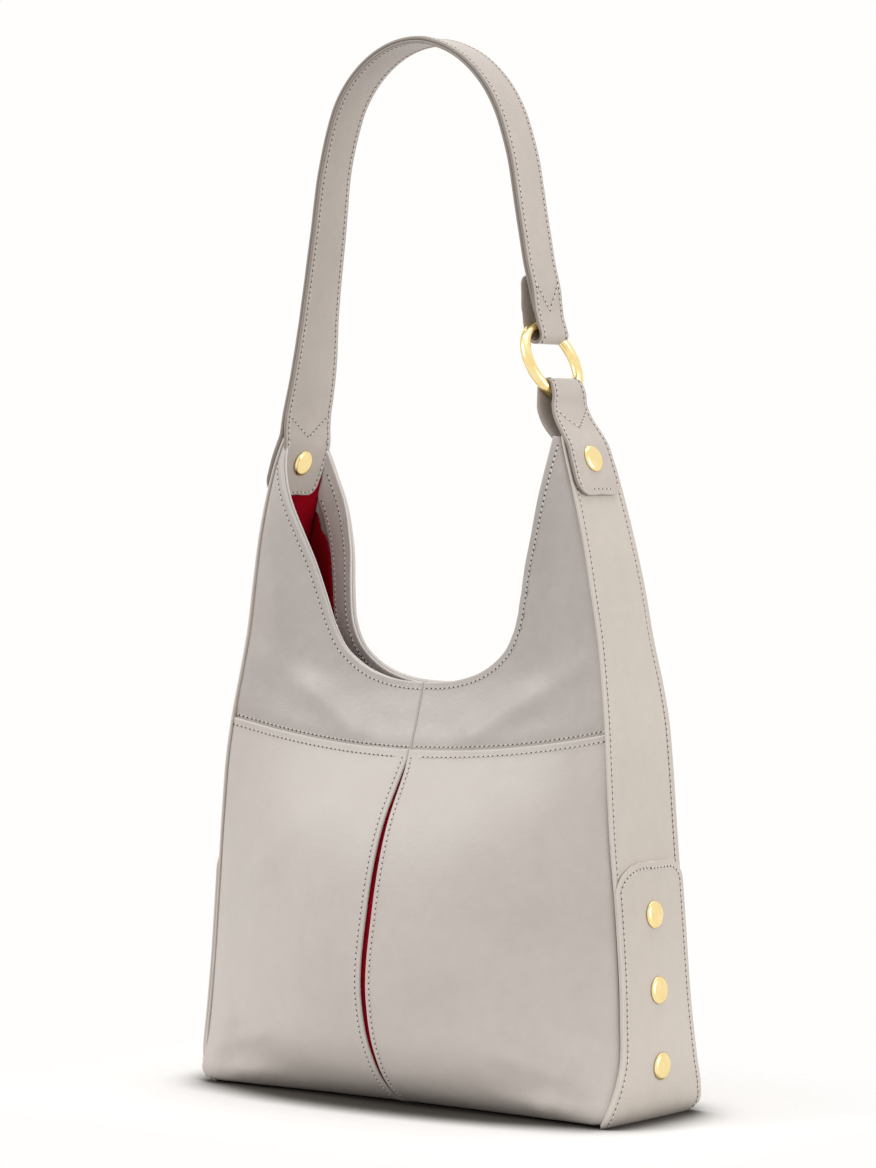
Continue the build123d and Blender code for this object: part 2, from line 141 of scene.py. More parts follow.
def smooth_line(points, count):
    """The points of a smooth curve through points, evenly spaced along it."""
    knots = lengths(points)
    fine = through(knots, points, np.linspace(0, knots[-1], 40 * len(points)))
    run = lengths(fine)
    even = np.linspace(0, run[-1], count)
    return np.stack([np.interp(even, run, fine[:, k]) for k in range(fine.shape[1])], axis=1)


def by_share(line, share):
    """Points of an evenly spaced line, by share of its length."""
    along = np.linspace(0, 1, len(line))
    return np.stack([np.interp(share, along, line[:, k]) for k in (0, 1)], axis=-1)


def steps(length, step, edge):
    """Shares from 0 to 1 along a length: even steps, and closer ones inside an edge's width at both ends."""
    rim = np.array([0, 0.06, 0.2, 0.42, 0.7, 1.0]) * edge
    inner = np.linspace(edge, length - edge, max(int((length - 2 * edge) / step), 2) + 1)[1:-1]
    return np.concatenate([rim, inner, length - rim[::-1]]) / length


def near(distance, width):
    """A soft fall from 1 at distance 0 to 0 far away: exp(-(distance / width)^2)."""
    return np.exp(-((distance / width) ** 2))


def unit(v):
    """Vectors of length one along the last axis."""
    return v / np.maximum(np.linalg.norm(v, axis=-1, keepdims=True), 1e-12)


def section(height):
    """Half width at each height, and the half depths at side seams and middle of the front and the back."""
    values = through(SECTIONS_MM[:, 0], SECTIONS_MM[:, 1:], np.clip(height, 0, SECTIONS_MM[-1, 0]))
    return values[..., 0], values[..., 1:3], values[..., 3:5]


def side_span(height):
    """Middle and half of a side's breadth along Y at each height, in millimetres."""
    _, front, back = section(height)
    return (back[..., 0] - front[..., 0]) / 2, (back[..., 0] + front[..., 0]) / 2


def bumps(x, z, spots):
    """Sum of soft round hills: each spot is x, z, half width along x and along z, and height."""
    return sum(h * np.exp(-(((x - cx) / wx) ** 2) - ((z - cz) / wz) ** 2) for cx, cz, wx, wz, h in spots)


# Slow swells of the soft leather: x, z, half widths and height, in millimetres.
SWELLS_MM = [
    (60, 30, 34, 14, 1.4), (-62, 34, 36, 15, 1.0), (70, 120, 30, 40, 0.9), (-75, 110, 26, 45, 0.8),
    (40, 75, 26, 30, 0.5), (-38, 80, 24, 30, 0.5), (95, 62, 14, 42, -0.9), (-98, 60, 14, 42, -0.9),
    (0, 14, 40, 9, 0.6), (20, 182, 22, 8, 0.4), (-25, 184, 26, 8, 0.5), (74, 205, 12, 26, -0.9),
    (-76, 212, 12, 28, -0.8), (88, 232, 7, 26, 0.6), (-90, 236, 7, 26, 0.5), (60, 190, 22, 9, 0.7),
    (-60, 190, 22, 9, 0.6), (98, 150, 9, 26, -0.6), (-100, 150, 9, 26, -0.6), (96, 18, 11, 7, -1.1),
    (84, 9, 13, 4, 0.8), (104, 30, 9, 9, 0.7), (-96, 16, 12, 8, -0.7),
]
SWELL_STRENGTH = 1.3

# Long soft ridges: x and z of the two ends, half width and height, in millimetres.
RIDGES_MM = [
    (30, 170, 100, 208, 6.5, 1.5), (-92, 186, -46, 204, 7.0, 0.8), (84, 2, 104, 34, 4.0, 0.9),
    (-100, 120, -58, 150, 9.0, 0.8), (36, 150, 84, 96, 10.0, 0.8), (66, 30, 110, 17, 3.6, 1.0),
    (58, 12, 100, 6, 3.0, 0.6),
]


def ridges(x, z):
    """Sum of soft ridges: a bell across each one's line, fading out past its ends."""
    total = np.zeros(np.broadcast(x, z).shape)
    for x0, z0, x1, z1, wide, high in RIDGES_MM:
        long = np.hypot(x1 - x0, z1 - z0)
        along = ((x - x0) * (x1 - x0) + (z - z0) * (z1 - z0)) / long
        across = ((z - z0) * (x1 - x0) - (x - x0) * (z1 - z0)) / long
        past = np.maximum(np.abs(along - long / 2) - long / 2 + wide, 0)
        total += high * np.exp(-((across / wide) ** 2) - (past / (1.4 * wide)) ** 2)
    return total


def front_depth(x, z, way):
    """Half depth of the front (way -1) or the back at x and z, in millimetres.

    It is a parabola across, with swells and ridges that fade out towards the side seams.
    """
    width, front, back = section(z)
    side, middle = np.moveaxis(front if way < 0 else back, -1, 0)
    crown = 1 - (x / width) ** 2
    soft = SWELL_STRENGTH * bumps(x, z, SWELLS_MM) + ridges(x, z)
    return side + (middle - side) * crown + soft * np.clip(4 * crown, 0, 1)


def front_surface(x, z, inset, way=-1):
    """Points in metres and normals at x and z on the front (way -1) or the back (way 1).

    The points lie inset below the outer surface, along the direction (-d depth/dx, 1, -d depth/dz).
    """
    e = SLOPE_STEP_MM
    dx = (front_depth(x + e, z, way) - front_depth(x - e, z, way)) / (2 * e)
    dz = (front_depth(x, z + e, way) - front_depth(x, z - e, way)) / (2 * e)
    normal = unit(np.stack([-dx, np.full_like(dx, 1.0), -dz], axis=-1))
    spots = np.stack([x, front_depth(x, z, way), z], axis=-1) - normal * np.asarray(inset)[..., None]
    flip = np.array([1, way, 1])
    return spots * flip * MM, normal * flip


def side_surface(y, z, inset, way=1):
    """Points in metres and normals at y and z on the right (way 1) or the left side.

    Each side is the half width plus a parabola across its breadth, and the points lie inset below it.
    """
    def across(y, z):
        middle, half = side_span(z)
        return section(z)[0] + BULGE_MM * (1 - ((y - middle) / half) ** 2)

    e = SLOPE_STEP_MM
    dy = (across(y + e, z) - across(y - e, z)) / (2 * e)
    dz = (across(y, z + e) - across(y, z - e)) / (2 * e)
    normal = unit(np.stack([np.full_like(dy, 1.0), -dy, -dz], axis=-1))
    spots = np.stack([across(y, z), y, z], axis=-1) - normal * np.asarray(inset)[..., None]
    flip = np.array([way, 1, 1])
    return spots * flip * MM, normal * flip


# ---- meshes ---------------------------------------------------------------------------------------------
def add_mesh(name, verts, faces, material, smooth=True, uv=None, edge=None):
    """A mesh object at the origin with one material, its faces as quads or triangles in an index array."""
    mesh = bpy.data.meshes.new(name)
    mesh.from_pydata(verts.tolist(), [], faces.tolist())
    if uv is not None:
        layer = mesh.uv_layers.new(name="UVMap")
        corner = np.zeros(len(mesh.loops), np.int32)
        mesh.loops.foreach_get("vertex_index", corner)
        layer.data.foreach_set("uv", uv[corner].astype(np.float32).ravel())
    if edge is not None:
        mesh.attributes.new("edge", "FLOAT", "POINT").data.foreach_set("value", edge.astype(np.float32))
    mesh.polygons.foreach_set("use_smooth", np.full(len(mesh.polygons), smooth))
    mesh.materials.append(material)
    mesh.update()
    piece = bpy.data.objects.new(name, mesh)
    bpy.context.scene.collection.objects.link(piece)
    return piece


def grid_faces(rows, columns, turn=False):
    """Quads between neighbouring points of a grid, numbered row by row; turned, they face the other way."""
    i, j = np.meshgrid(np.arange(rows - 1), np.arange(columns - 1), indexing="ij")
    a = (i * columns + j).ravel()
    quads = np.stack([a, a + 1, a + columns + 1, a + columns], axis=1)
    return quads[:, ::-1] if turn else quads


def edge_distance(spots):
    """Distance of each grid point from the nearest of the grid's four borders, measured along its lines."""
    def to_ends(points):
        run = np.concatenate([np.zeros((1,) + points.shape[1:2]),
                              np.cumsum(np.linalg.norm(np.diff(points, axis=0), axis=2), axis=0)])
        return np.minimum(run, run[-1] - run)

    down, over = to_ends(spots), to_ends(spots.transpose(1, 0, 2)).T
    return np.minimum(down, over)


def hide(name, spots, normals, thickness, material, round_edge=0.0009):
    """A piece of leather: two faces half a thickness each side of a grid of points, with a round edge.

    Within r of the border, at a distance d, each face stands off by its half thickness times
    sqrt(1 - (1 - d / r)^2), a quarter ellipse.
    """
    far = edge_distance(spots)
    inside = np.clip(far / round_edge, 0, 1)
    lift = thickness / 2 * np.sqrt(np.clip(1 - (1 - inside) ** 2, 0, 1))
    rows, columns = spots.shape[:2]
    top = spots + normals * lift[..., None]
    low = spots - normals * lift[..., None]
    count = rows * columns
    border = np.zeros((rows, columns), bool)
    border[0, :] = border[-1, :] = border[:, 0] = border[:, -1] = True
    index_low = np.arange(count) + count
    index_low[border.ravel()] = np.arange(count)[border.ravel()]
    faces_top = grid_faces(rows, columns)
    faces_low = index_low[grid_faces(rows, columns, turn=True)]
    inner = spots[1:-1, 1:-1]
    facing = np.cross(spots[1:-1, 2:] - inner, spots[2:, 1:-1] - inner) * normals[1:-1, 1:-1]
    faces = np.concatenate([faces_top, faces_low])
    if np.median(np.sum(facing, axis=2)) < 0:
        faces = faces[:, ::-1]
    verts = np.concatenate([top.reshape(-1, 3), low.reshape(-1, 3)])
    used = np.unique(faces)
    renumber = np.zeros(len(verts), int)
    renumber[used] = np.arange(len(used))
    u = np.tile(np.linspace(0, 1, columns), (rows, 1)).ravel()
    v = np.repeat(np.linspace(0, 1, rows), columns)
    uv = np.tile(np.stack([u, v], axis=1), (2, 1))
    # Mask of the last 0.8 mm at the border for the leather's edge colour: edge paint on the strap, a painted
    # highlight on the walls and the facing, painted shade on the base.
    edge = np.tile(np.clip(1 - (far.ravel() - 0.0002) / 0.0006, 0, 1), 2)
    return add_mesh(name, verts[used], renumber[faces], material, uv=uv[used], edge=edge[used])


def lathe(profile, centre, axis, segments):
    """Vertices and quads of a profile of (radius, height) pairs turned round an axis through a centre."""
    axis = unit(np.asarray(axis, float))
    side = unit(np.cross(axis, (0.0, 1.0, 0.0) if abs(axis[1]) < 0.9 else (1.0, 0.0, 0.0)))
    other = np.cross(axis, side)
    turn = np.linspace(0, 2 * np.pi, segments, endpoint=False)
    radius, height = np.asarray(profile, float).T
    ring = np.cos(turn)[:, None] * side + np.sin(turn)[:, None] * other
    verts = centre + radius[:, None, None] * ring + height[:, None, None] * axis
    rows = len(radius)
    i, j = np.meshgrid(np.arange(rows - 1), np.arange(segments), indexing="ij")
    a, b = i * segments + j, i * segments + (j + 1) % segments
    quads = np.stack([a, b, b + segments, a + segments], axis=-1).reshape(-1, 4)
    return verts.reshape(-1, 3), quads


def merge(parts):
    """One vertex array and one face array from several."""
    verts, faces, start = [], [], 0
    for v, f in parts:
        verts.append(v)
        faces.append(f + start)
        start += len(v)
    return np.concatenate(verts), np.concatenate(faces)


# ---- materials ------------------------------------------------------------------------------------------
def new_material(name):
    """An empty node material, its shader, and functions that add and join nodes."""
    material = bpy.data.materials.new(name)
    material.use_nodes = True
    nodes, links = material.node_tree.nodes, material.node_tree.links
    shader = nodes["Principled BSDF"]

    def add(kind, **values):
        node = nodes.new(kind)
        for key, value in values.items():
            if key in node.inputs:
                node.inputs[key].default_value = value
            else:
                setattr(node, key, value)
        return node

    return material, shader, add, links.new


def ramp(add, low, high, start, stop):
    """A colour ramp from one colour to another between two positions."""
    node = add("ShaderNodeValToRGB")
    node.color_ramp.elements[0].position, node.color_ramp.elements[1].position = start, stop
    node.color_ramp.elements[0].color, node.color_ramp.elements[1].color = (*low, 1), (*high, 1)
    return node


def leather(name, light, dark, edge_paint_highlight_shade, rough=0.42):
    """Smooth calf leather: cloudy tone, its own colour along the cut edges, and a bump of grain, stretch and
    creases.
    """
    material, shader, add, join = new_material(name)
    place = add("ShaderNodeTexCoord")
    cloud = add("ShaderNodeTexNoise", Scale=14.0, Detail=4.0, Roughness=0.55)
    mottle = add("ShaderNodeTexNoise", Scale=160.0, Detail=5.0, Roughness=0.6)
    both = add("ShaderNodeMix", Factor=0.35)
    tone = ramp(add, dark, light, 0.32, 0.66)
    for noise in (cloud, mottle):
        join(place.outputs["Object"], noise.inputs["Vector"])
    join(cloud.outputs["Fac"], both.inputs["A"])
    join(mottle.outputs["Fac"], both.inputs["B"])
    join(both.outputs["Result"], tone.inputs["Fac"])
    # The border takes the edge colour: edge paint on the strap, a painted highlight on the walls and the
    # facing, painted shade on the base.
    border = add("ShaderNodeAttribute", attribute_name="edge")
    edged = add("ShaderNodeMix", data_type="RGBA")
    edged.inputs["B"].default_value = (*edge_paint_highlight_shade, 1)
    join(border.outputs["Fac"], edged.inputs["Factor"])
    join(tone.outputs["Color"], edged.inputs["A"])
    join(edged.outputs["Result"], shader.inputs["Base Color"])
    gloss = add("ShaderNodeMapRange")
    gloss.inputs["From Min"].default_value, gloss.inputs["From Max"].default_value = 0.3, 0.7
    gloss.inputs["To Min"].default_value, gloss.inputs["To Max"].default_value = rough - 0.05, rough + 0.08
    join(mottle.outputs["Fac"], gloss.inputs["Value"])
    join(gloss.outputs["Result"], shader.inputs["Roughness"])
    pebble = add("ShaderNodeTexVoronoi", Scale=1500.0, feature="SMOOTH_F1")
    stretch = add("ShaderNodeTexNoise", Scale=520.0, Detail=3.0, Roughness=0.55)
    crease = add("ShaderNodeTexNoise", Scale=60.0, Detail=4.0, Roughness=0.5)
    for texture in (pebble, stretch, crease):
        join(place.outputs["Object"], texture.inputs["Vector"])
    grain = add("ShaderNodeBump", Strength=0.12, Distance=0.00025)
    soft = add("ShaderNodeBump", Strength=0.22, Distance=0.0004)
    slow = add("ShaderNodeBump", Strength=0.25, Distance=0.0012)
    join(crease.outputs["Fac"], slow.inputs["Height"])
    join(stretch.outputs["Fac"], soft.inputs["Height"])
    join(pebble.outputs["Distance"], grain.inputs["Height"])
    join(slow.outputs["Normal"], soft.inputs["Normal"])
    join(soft.outputs["Normal"], grain.inputs["Normal"])
    join(grain.outputs["Normal"], shader.inputs["Normal"])
    shader.inputs["Specular IOR Level"].default_value = 0.5
    shader.inputs["Sheen Weight"].default_value = 0.08
    shader.inputs["Sheen Roughness"].default_value = 0.5
    return material


def suede():
    """Deep crimson suede without gloss: its short nap is fine noise in the tone and in the bump."""
    material, shader, add, join = new_material("crimson_suede")
    place = add("ShaderNodeTexCoord")
    nap = add("ShaderNodeTexNoise", Scale=900.0, Detail=6.0, Roughness=0.7)
    brush = add("ShaderNodeTexNoise", Scale=45.0, Detail=3.0, Roughness=0.6)
    both = add("ShaderNodeMix", Factor=0.5)
    tone = ramp(add, (0.16, 0.001, 0.006), (0.36, 0.002, 0.012), 0.3, 0.7)
    bump = add("ShaderNodeBump", Strength=0.5, Distance=0.0003)
    for noise in (nap, brush):
        join(place.outputs["Object"], noise.inputs["Vector"])
    join(nap.outputs["Fac"], both.inputs["A"])
    join(brush.outputs["Fac"], both.inputs["B"])
    join(both.outputs["Result"], tone.inputs["Fac"])
    join(tone.outputs["Color"], shader.inputs["Base Color"])
    join(nap.outputs["Fac"], bump.inputs["Height"])
    join(bump.outputs["Normal"], shader.inputs["Normal"])
    shader.inputs["Roughness"].default_value = 0.95
    shader.inputs["Specular IOR Level"].default_value = 0.05
    return material


def gold():
    """Polished pale gold plate with faint wear in its gloss."""
    material, shader, add, join = new_material("pale_gold")
    place = add("ShaderNodeTexCoord")
    wear = add("ShaderNodeTexNoise", Scale=240.0, Detail=4.0, Roughness=0.6)
    tone = ramp(add, (0.92, 0.71, 0.30), (0.96, 0.79, 0.42), 0.3, 0.7)
    gloss = add("ShaderNodeMapRange")
    gloss.inputs["To Min"].default_value, gloss.inputs["To Max"].default_value = 0.14, 0.28
    join(place.outputs["Object"], wear.inputs["Vector"])
    join(wear.outputs["Fac"], tone.inputs["Fac"])
    join(wear.outputs["Fac"], gloss.inputs["Value"])
    join(tone.outputs["Color"], shader.inputs["Base Color"])
    join(gloss.outputs["Result"], shader.inputs["Roughness"])
    shader.inputs["Metallic"].default_value = 1.0
    return material


def plain(name, colour, rough, scale):
    """A matt finish with a little noise in its tone."""
    material, shader, add, join = new_material(name)
    place = add("ShaderNodeTexCoord")
    noise = add("ShaderNodeTexNoise", Scale=scale, Detail=3.0)
    tone = ramp(add, tuple(0.82 * c for c in colour), colour, 0.3, 0.7)
    join(place.outputs["Object"], noise.inputs["Vector"])
    join(noise.outputs["Fac"], tone.inputs["Fac"])
    join(tone.outputs["Color"], shader.inputs["Base Color"])
    shader.inputs["Roughness"].default_value = rough
    return material


EDGE = (0.30, 0.26, 0.23)
# Front, yoke and side leather: the last, lighter colour is a painted highlight along the rounded edges.
FRONT = leather("front_calf", (0.610, 0.560, 0.520), (0.545, 0.495, 0.455), (0.70, 0.66, 0.62))
YOKE = leather("yoke_calf", (0.530, 0.480, 0.448), (0.450, 0.405, 0.378), (0.64, 0.59, 0.55), rough=0.36)
SIDE = leather("side_calf", (0.575, 0.518, 0.462), (0.515, 0.460, 0.408), (0.64, 0.59, 0.54))
STRAP = leather("strap_calf", (0.540, 0.482, 0.435), (0.460, 0.408, 0.365), EDGE)
# Base: leather painted dark as shade under the bag, with a near-black edge of painted contact shadow.
BASE_SHADE = leather("base_calf_painted_shade", (0.30, 0.27, 0.25), (0.24, 0.215, 0.20), (0.05, 0.045, 0.04))
# Facing: painted lighter than the leather outside, as painted light inside the mouth; its lighter edge colour
# is a painted highlight along its edges.
FACE_PAINTED_LIGHT = leather("facing_calf_painted_light", (0.70, 0.65, 0.62), (0.62, 0.575, 0.545), (0.75, 0.71, 0.68))
SUEDE = suede()
GOLD = gold()
THREAD = plain("waxed_thread", (0.78, 0.73, 0.68), 0.6, 900.0)
# Needle holes: near-black discs that paint the shade inside each hole.
HOLE_SHADE = plain("needle_hole_shade", (0.045, 0.036, 0.032), 0.9, 900.0)
BOARD = plain("grey_board", (0.22, 0.20, 0.18), 0.85, 300.0)
SLOTS = {"front_leather": FRONT, "yoke_leather": YOKE, "side_leather": SIDE, "strap_leather": STRAP,
         "lining_suede": SUEDE, "gold_metal": GOLD, "stiff_board": BOARD}
node_slot = {part["node"]: part["material_slot"] for part in frame["record"]["subparts"]}
for node, piece in frame["nodes"].items():
    for spot in piece.material_slots:
        spot.material = SLOTS[node_slot[node]]


def keep(piece, body, slot, *nodes):
    """A finished piece rides on a body and stands in for CAD nodes, which it hides; the slot is not used."""
    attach(piece, body)
    if nodes:
        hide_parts(*nodes)
    return piece


# ---- stitching ------------------------------------------------------------------------------------------
def stitch_parts(points, normals, pitch=STITCH_PITCH):
    """Threads and needle holes along a row: the row is cut into equal stitches, each a slim lens of thread.

    A stitch is an ellipsoid 0.74 of the pitch long, slanted a little to the row; a hole is a flat near-black
    disc of painted shade.
    """
    run = lengths(points)
    count = max(int(run[-1] / pitch), 1)
    marks = (np.arange(count) + 0.5) * run[-1] / count
    at = np.stack([np.interp(marks, run, points[:, k]) for k in range(3)], axis=1)
    up = unit(np.stack([np.interp(marks, run, normals[:, k]) for k in range(3)], axis=1))
    ahead = np.stack([np.interp(marks + 0.0004, run, points[:, k]) for k in range(3)], axis=1)
    before = np.stack([np.interp(marks - 0.0004, run, points[:, k]) for k in range(3)], axis=1)
    along = unit(ahead - before)
    across = unit(np.cross(up, along))
    along = unit(along + 0.16 * across)
    across = unit(np.cross(up, along))

    def blobs(centres, long, wide, high, rings, segments):
        """The same ellipsoid at each centre."""
        lat = np.linspace(-1, 1, rings) * 0.94
        turn = np.linspace(0, 2 * np.pi, segments, endpoint=False)
        body = np.sqrt(1 - lat**2)
        x = np.repeat(lat * long, segments)
        y = (body[:, None] * np.cos(turn)).ravel() * wide
        z = (body[:, None] * np.sin(turn)).ravel() * high
        verts = (centres[:, None] + x[:, None] * along[:, None] + y[:, None] * across[:, None]
                 + z[:, None] * up[:, None])
        i, j = np.meshgrid(np.arange(rings - 1), np.arange(segments), indexing="ij")
        a, b = i * segments + j, i * segments + (j + 1) % segments
        quads = np.stack([a, a + segments, b + segments, b], axis=-1).reshape(-1, 4)
        tips = np.array([[0, 1, 2, 3], [0, 3, 4, 5]])
        last = (rings - 1) * segments
        tips = np.concatenate([tips, last + tips[:, ::-1]])
        one = np.concatenate([quads, tips])
        each = np.arange(len(centres)) * rings * segments
        return verts.reshape(-1, 3), (one[None] + each[:, None, None]).reshape(-1, 4)

    threads = blobs(at + up * 0.00010, long=0.36 * pitch, wide=0.00040, high=0.00034, rings=4, segments=6)
    between = at + along * pitch / 2 + up * 0.00002
    hole_shades = blobs(between, long=0.00050, wide=0.00046, high=0.00018, rings=3, segments=6)
    return threads, hole_shades


def sew(name, rows, body, slot="strap_leather"):
    """Rows of stitches as two pieces: the threads, and the needle holes as near-black discs of painted shade.
    """
    found = [stitch_parts(points, normals) for points, normals in rows]
    pieces = []
    for kind, part, material in (("thread", 0, THREAD), ("hole_shades", 1, HOLE_SHADE)):
        verts, faces = merge([f[part] for f in found])
        pieces.append(add_mesh(f"{name}_{kind}", verts, faces, material))
    for piece in pieces:
        if body is None:
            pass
        else:
            keep(piece, body, slot)
    return pieces


# ---- front and back -------------------------------------------------------------------------------------
def seam_height(x):
    """Height of the seam between yoke and lower panel: a parabola."""
    return SEAM_MIDDLE_MM + (SEAM_SIDE_MM - SEAM_MIDDLE_MM) * (x / SEAM_REACH_MM) ** 2


def side_edge(height, tuck):
    """Half width at a height, less the tuck under the side wall."""
    return section(height)[0] - tuck


def wrap(z, way):
    """How far the front panel comes out over the left side's edge near the base, way -1, in millimetres."""
    return 1.7 * near(z - 3, 13.0) * (way < 0)


def panel_grid(left_edge, way=1, step=GRID_MM):
    """x and z of a lower panel's grid: u from an inner edge to the side seam, v from the base to the yoke.

    The yoke seam's height depends on x and the edges on the height, so both are worked out in three turns.
    """
    v, u = np.meshgrid(steps(168.0, step, RIM_MM), steps(120.0, step, RIM_MM), indexing="ij")
    x = u * 118
    for _ in range(3):
        z = PANEL_FOOT_MM + v * (seam_height(x) - PANEL_FOOT_MM)
        low = left_edge(z)
        x = low + u * (side_edge(z, TUCK_MM - wrap(z, way)) - low)
    return x, z


def slit_edge(z):
    """Distance of the slit's edge from the middle: a blunt lens, half * sin(pi * share)^0.45."""
    share = np.clip((z - SLIT_FOOT_MM) / (SLIT_TOP_MM - SLIT_FOOT_MM), 0, 1)
    return 0.12 + SLIT_HALF_MM * np.sin(np.pi * share) ** 0.45


def panel_inset(x, z, inner):
    """How deep the lower panel's middle layer lies: down at the side seam, up at its turned edges."""
    to_side = side_edge(z, TUCK_MM) - x
    to_seam = seam_height(x) - z
    to_slit = x - inner(z)
    down = 0.4 * near(to_side, 3.0) + 0.6 * near(to_side, 1.1)
    return 1.0 + down - 0.55 * near(to_seam, 2.6) - 0.35 * near(to_slit, 2.4)


def build_panels():
    """The front's two lower panels beside the slit, and the back's single one, half of it mirrored."""
    for word, way in (("right", 1), ("left", -1)):
        x, z = panel_grid(slit_edge, way)
        spots, normals = front_surface(x, z, panel_inset(x, z, slit_edge))
        flip = np.array([way, 1, 1])
        piece = hide(f"front_panel_{word}_leather", spots * flip, normals * flip, WALL_THICK, FRONT)
        keep(piece, "bag", "front_leather", f"front_panel_{word}")
    x, z = panel_grid(lambda height: 0 * height)
    inset = panel_inset(x, z, lambda height: 0 * height - 99)
    x = np.concatenate([-x[:, :0:-1], x], axis=1)
    z = np.concatenate([z[:, :0:-1], z], axis=1)
    inset = np.concatenate([inset[:, :0:-1], inset], axis=1)
    spots, normals = front_surface(x, z, inset, way=1)
    keep(hide("back_panel_leather", spots, normals, WALL_THICK, FRONT), "bag", "front_leather", "back_panel")


def neckline_at(share, hand):
    """Points of the neckline from the middle to the horn, by share of its length.

    Both horns lean to the left by HORN_LEAN_MM, in a smooth step 3 t^2 - 2 t^3 over the last 45 mm.
    """
    line = smooth_line(NECKLINE_MM, LINE_POINTS)
    rise = np.clip((line[:, 1] - 255) / 45, 0, 1)
    line[:, 0] -= hand * HORN_LEAN_MM * rise**2 * (3 - 2 * rise)
    return by_share(line, share)


def yoke_grid(lap, hand):
    """x and z of a yoke's grid, from the neckline out to the yoke seam, lapped, and then up the side.

    Lines run straight across, from the rim to the seam for the first shares and to the side for the rest.
    """
    corner = 0.46
    share = steps(190.0, GRID_MM, RIM_MM)
    across = steps(60.0, 2.4, RIM_MM)
    rim = neckline_at(share, hand)
    rim[:, 0] = np.minimum(rim[:, 0], side_edge(rim[:, 1], TUCK_MM + 0.7))
    below = np.clip(share / corner, 0, 1) * 110.5
    foot = np.stack([below, seam_height(below) - lap], axis=1)
    rise = np.clip((share - corner) / (1 - corner), 0, 1)
    height = (SEAM_SIDE_MM - lap) + rise * (NECKLINE_MM[-1, 1] - SEAM_SIDE_MM + lap)
    outer = np.stack([side_edge(height, TUCK_MM), height], axis=1)
    far = np.where((share < corner)[:, None], foot, outer)
    grid = rim[:, None] * (1 - across[None, :, None]) + far[:, None] * across[None, :, None]
    return grid[..., 0], grid[..., 1]


# Small folds beside the right rim: x and z of the middle, reach, half width and depth, in millimetres.
CREASES_MM = [
    (64, 226, 13, 0.9, 0.40), (66, 219, 14, 0.8, 0.42), (68, 212, 12, 0.8, 0.32), (67, 236, 12, 0.9, 0.48),
    (70, 246, 12, 0.8, 0.42), (62, 206, 9, 0.7, 0.25), (73, 256, 9, 0.7, 0.34),
]


def crease_depth(x, z):
    """Shallow folds outwards and down from the rim: narrow valleys along short, bowed, slanted lines."""
    total = np.zeros_like(x)
    for cx, cz, reach, width, depth in CREASES_MM:
        along = (x - cx) * 0.93 - (z - cz) * 0.36
        across = (x - cx) * 0.36 + (z - cz) * 0.93 + 0.02 * along**2
        total += depth * np.exp(-((along / reach) ** 4) - (across / width) ** 2)
    return total


def yoke_inset(x, z, creased):
    """How deep the yoke's middle layer lies: under the lower panel at the seam, down at the side seam."""
    to_side = side_edge(z, TUCK_MM) - x
    to_seam = z - seam_height(x)
    inset = 1.0 + 0.4 * near(to_side, 3.0) + 0.6 * near(to_side, 1.1) + 1.5 * near(to_seam + 2, 5.0)
    return inset + (crease_depth(x, z) if creased else 0)


def build_yokes():
    """Four yoke pieces; each pair meets in the middle, its edges turned down into a seam."""
    for face, way in (("front", -1), ("back", 1)):
        for word, hand in (("right", 1), ("left", -1)):
            x, z = yoke_grid(3.0, hand)
            x = np.maximum(x, 0.03)
            creased = face == "front" and word == "right"
            middle = 0.25 * near(x, 0.7)
            spots, normals = front_surface(x, z, yoke_inset(x, z, creased) + middle, way)
            flip = np.array([hand, 1, 1])
            piece = hide(f"{face}_yoke_{word}_leather", spots * flip, normals * flip, WALL_THICK, YOKE,
                         round_edge=0.0005)
            keep(piece, "bag", "yoke_leather", f"{face}_yoke_{word}")


# ---- facing, lining, slit -------------------------------------------------------------------------------
def facing_edge_at(share):
    """Points of the facing's lower edge from the middle to the horn, by share of its length."""
    return by_share(smooth_line(FACING_EDGE_MM, LINE_POINTS), share)


def build_facing():
    """The leather band inside the mouth, on both faces, from the rim to its sewn lower edge."""
    share, across = steps(190.0, 2.8, RIM_MM), steps(26.0, 2.2, RIM_MM)
    halves = []
    for hand in (-1, 1):
        rim, edge = neckline_at(share, hand), facing_edge_at(share)
        grid = rim[:, None] * (1 - across[None, :, None]) + edge[:, None] * across[None, :, None]
        halves.append((hand * np.minimum(grid[..., 0], side_edge(grid[..., 1], 2.0)), grid[..., 1]))
    (left_x, left_z), (right_x, right_z) = halves
    x = np.concatenate([left_x[:0:-1], right_x])
    z = np.concatenate([left_z[:0:-1], right_z])
    for face, way in (("front", -1), ("back", 1)):
        spots, normals = front_surface(x, z, np.full_like(x, 2.85), way)
        keep(hide(f"facing_{face}_leather", spots, normals, FACING_THICK, FACE_PAINTED_LIGHT), "bag", "strap_leather",
             f"facing_{face}")


def cloth(name, spots, normals, node):
    """A suede lining piece that rides on the bag and stands in for a CAD node."""
    piece = hide(name, spots, normals, SUEDE_THICK, SUEDE, 0.0006)
    keep(piece, "bag", "lining_suede", node)


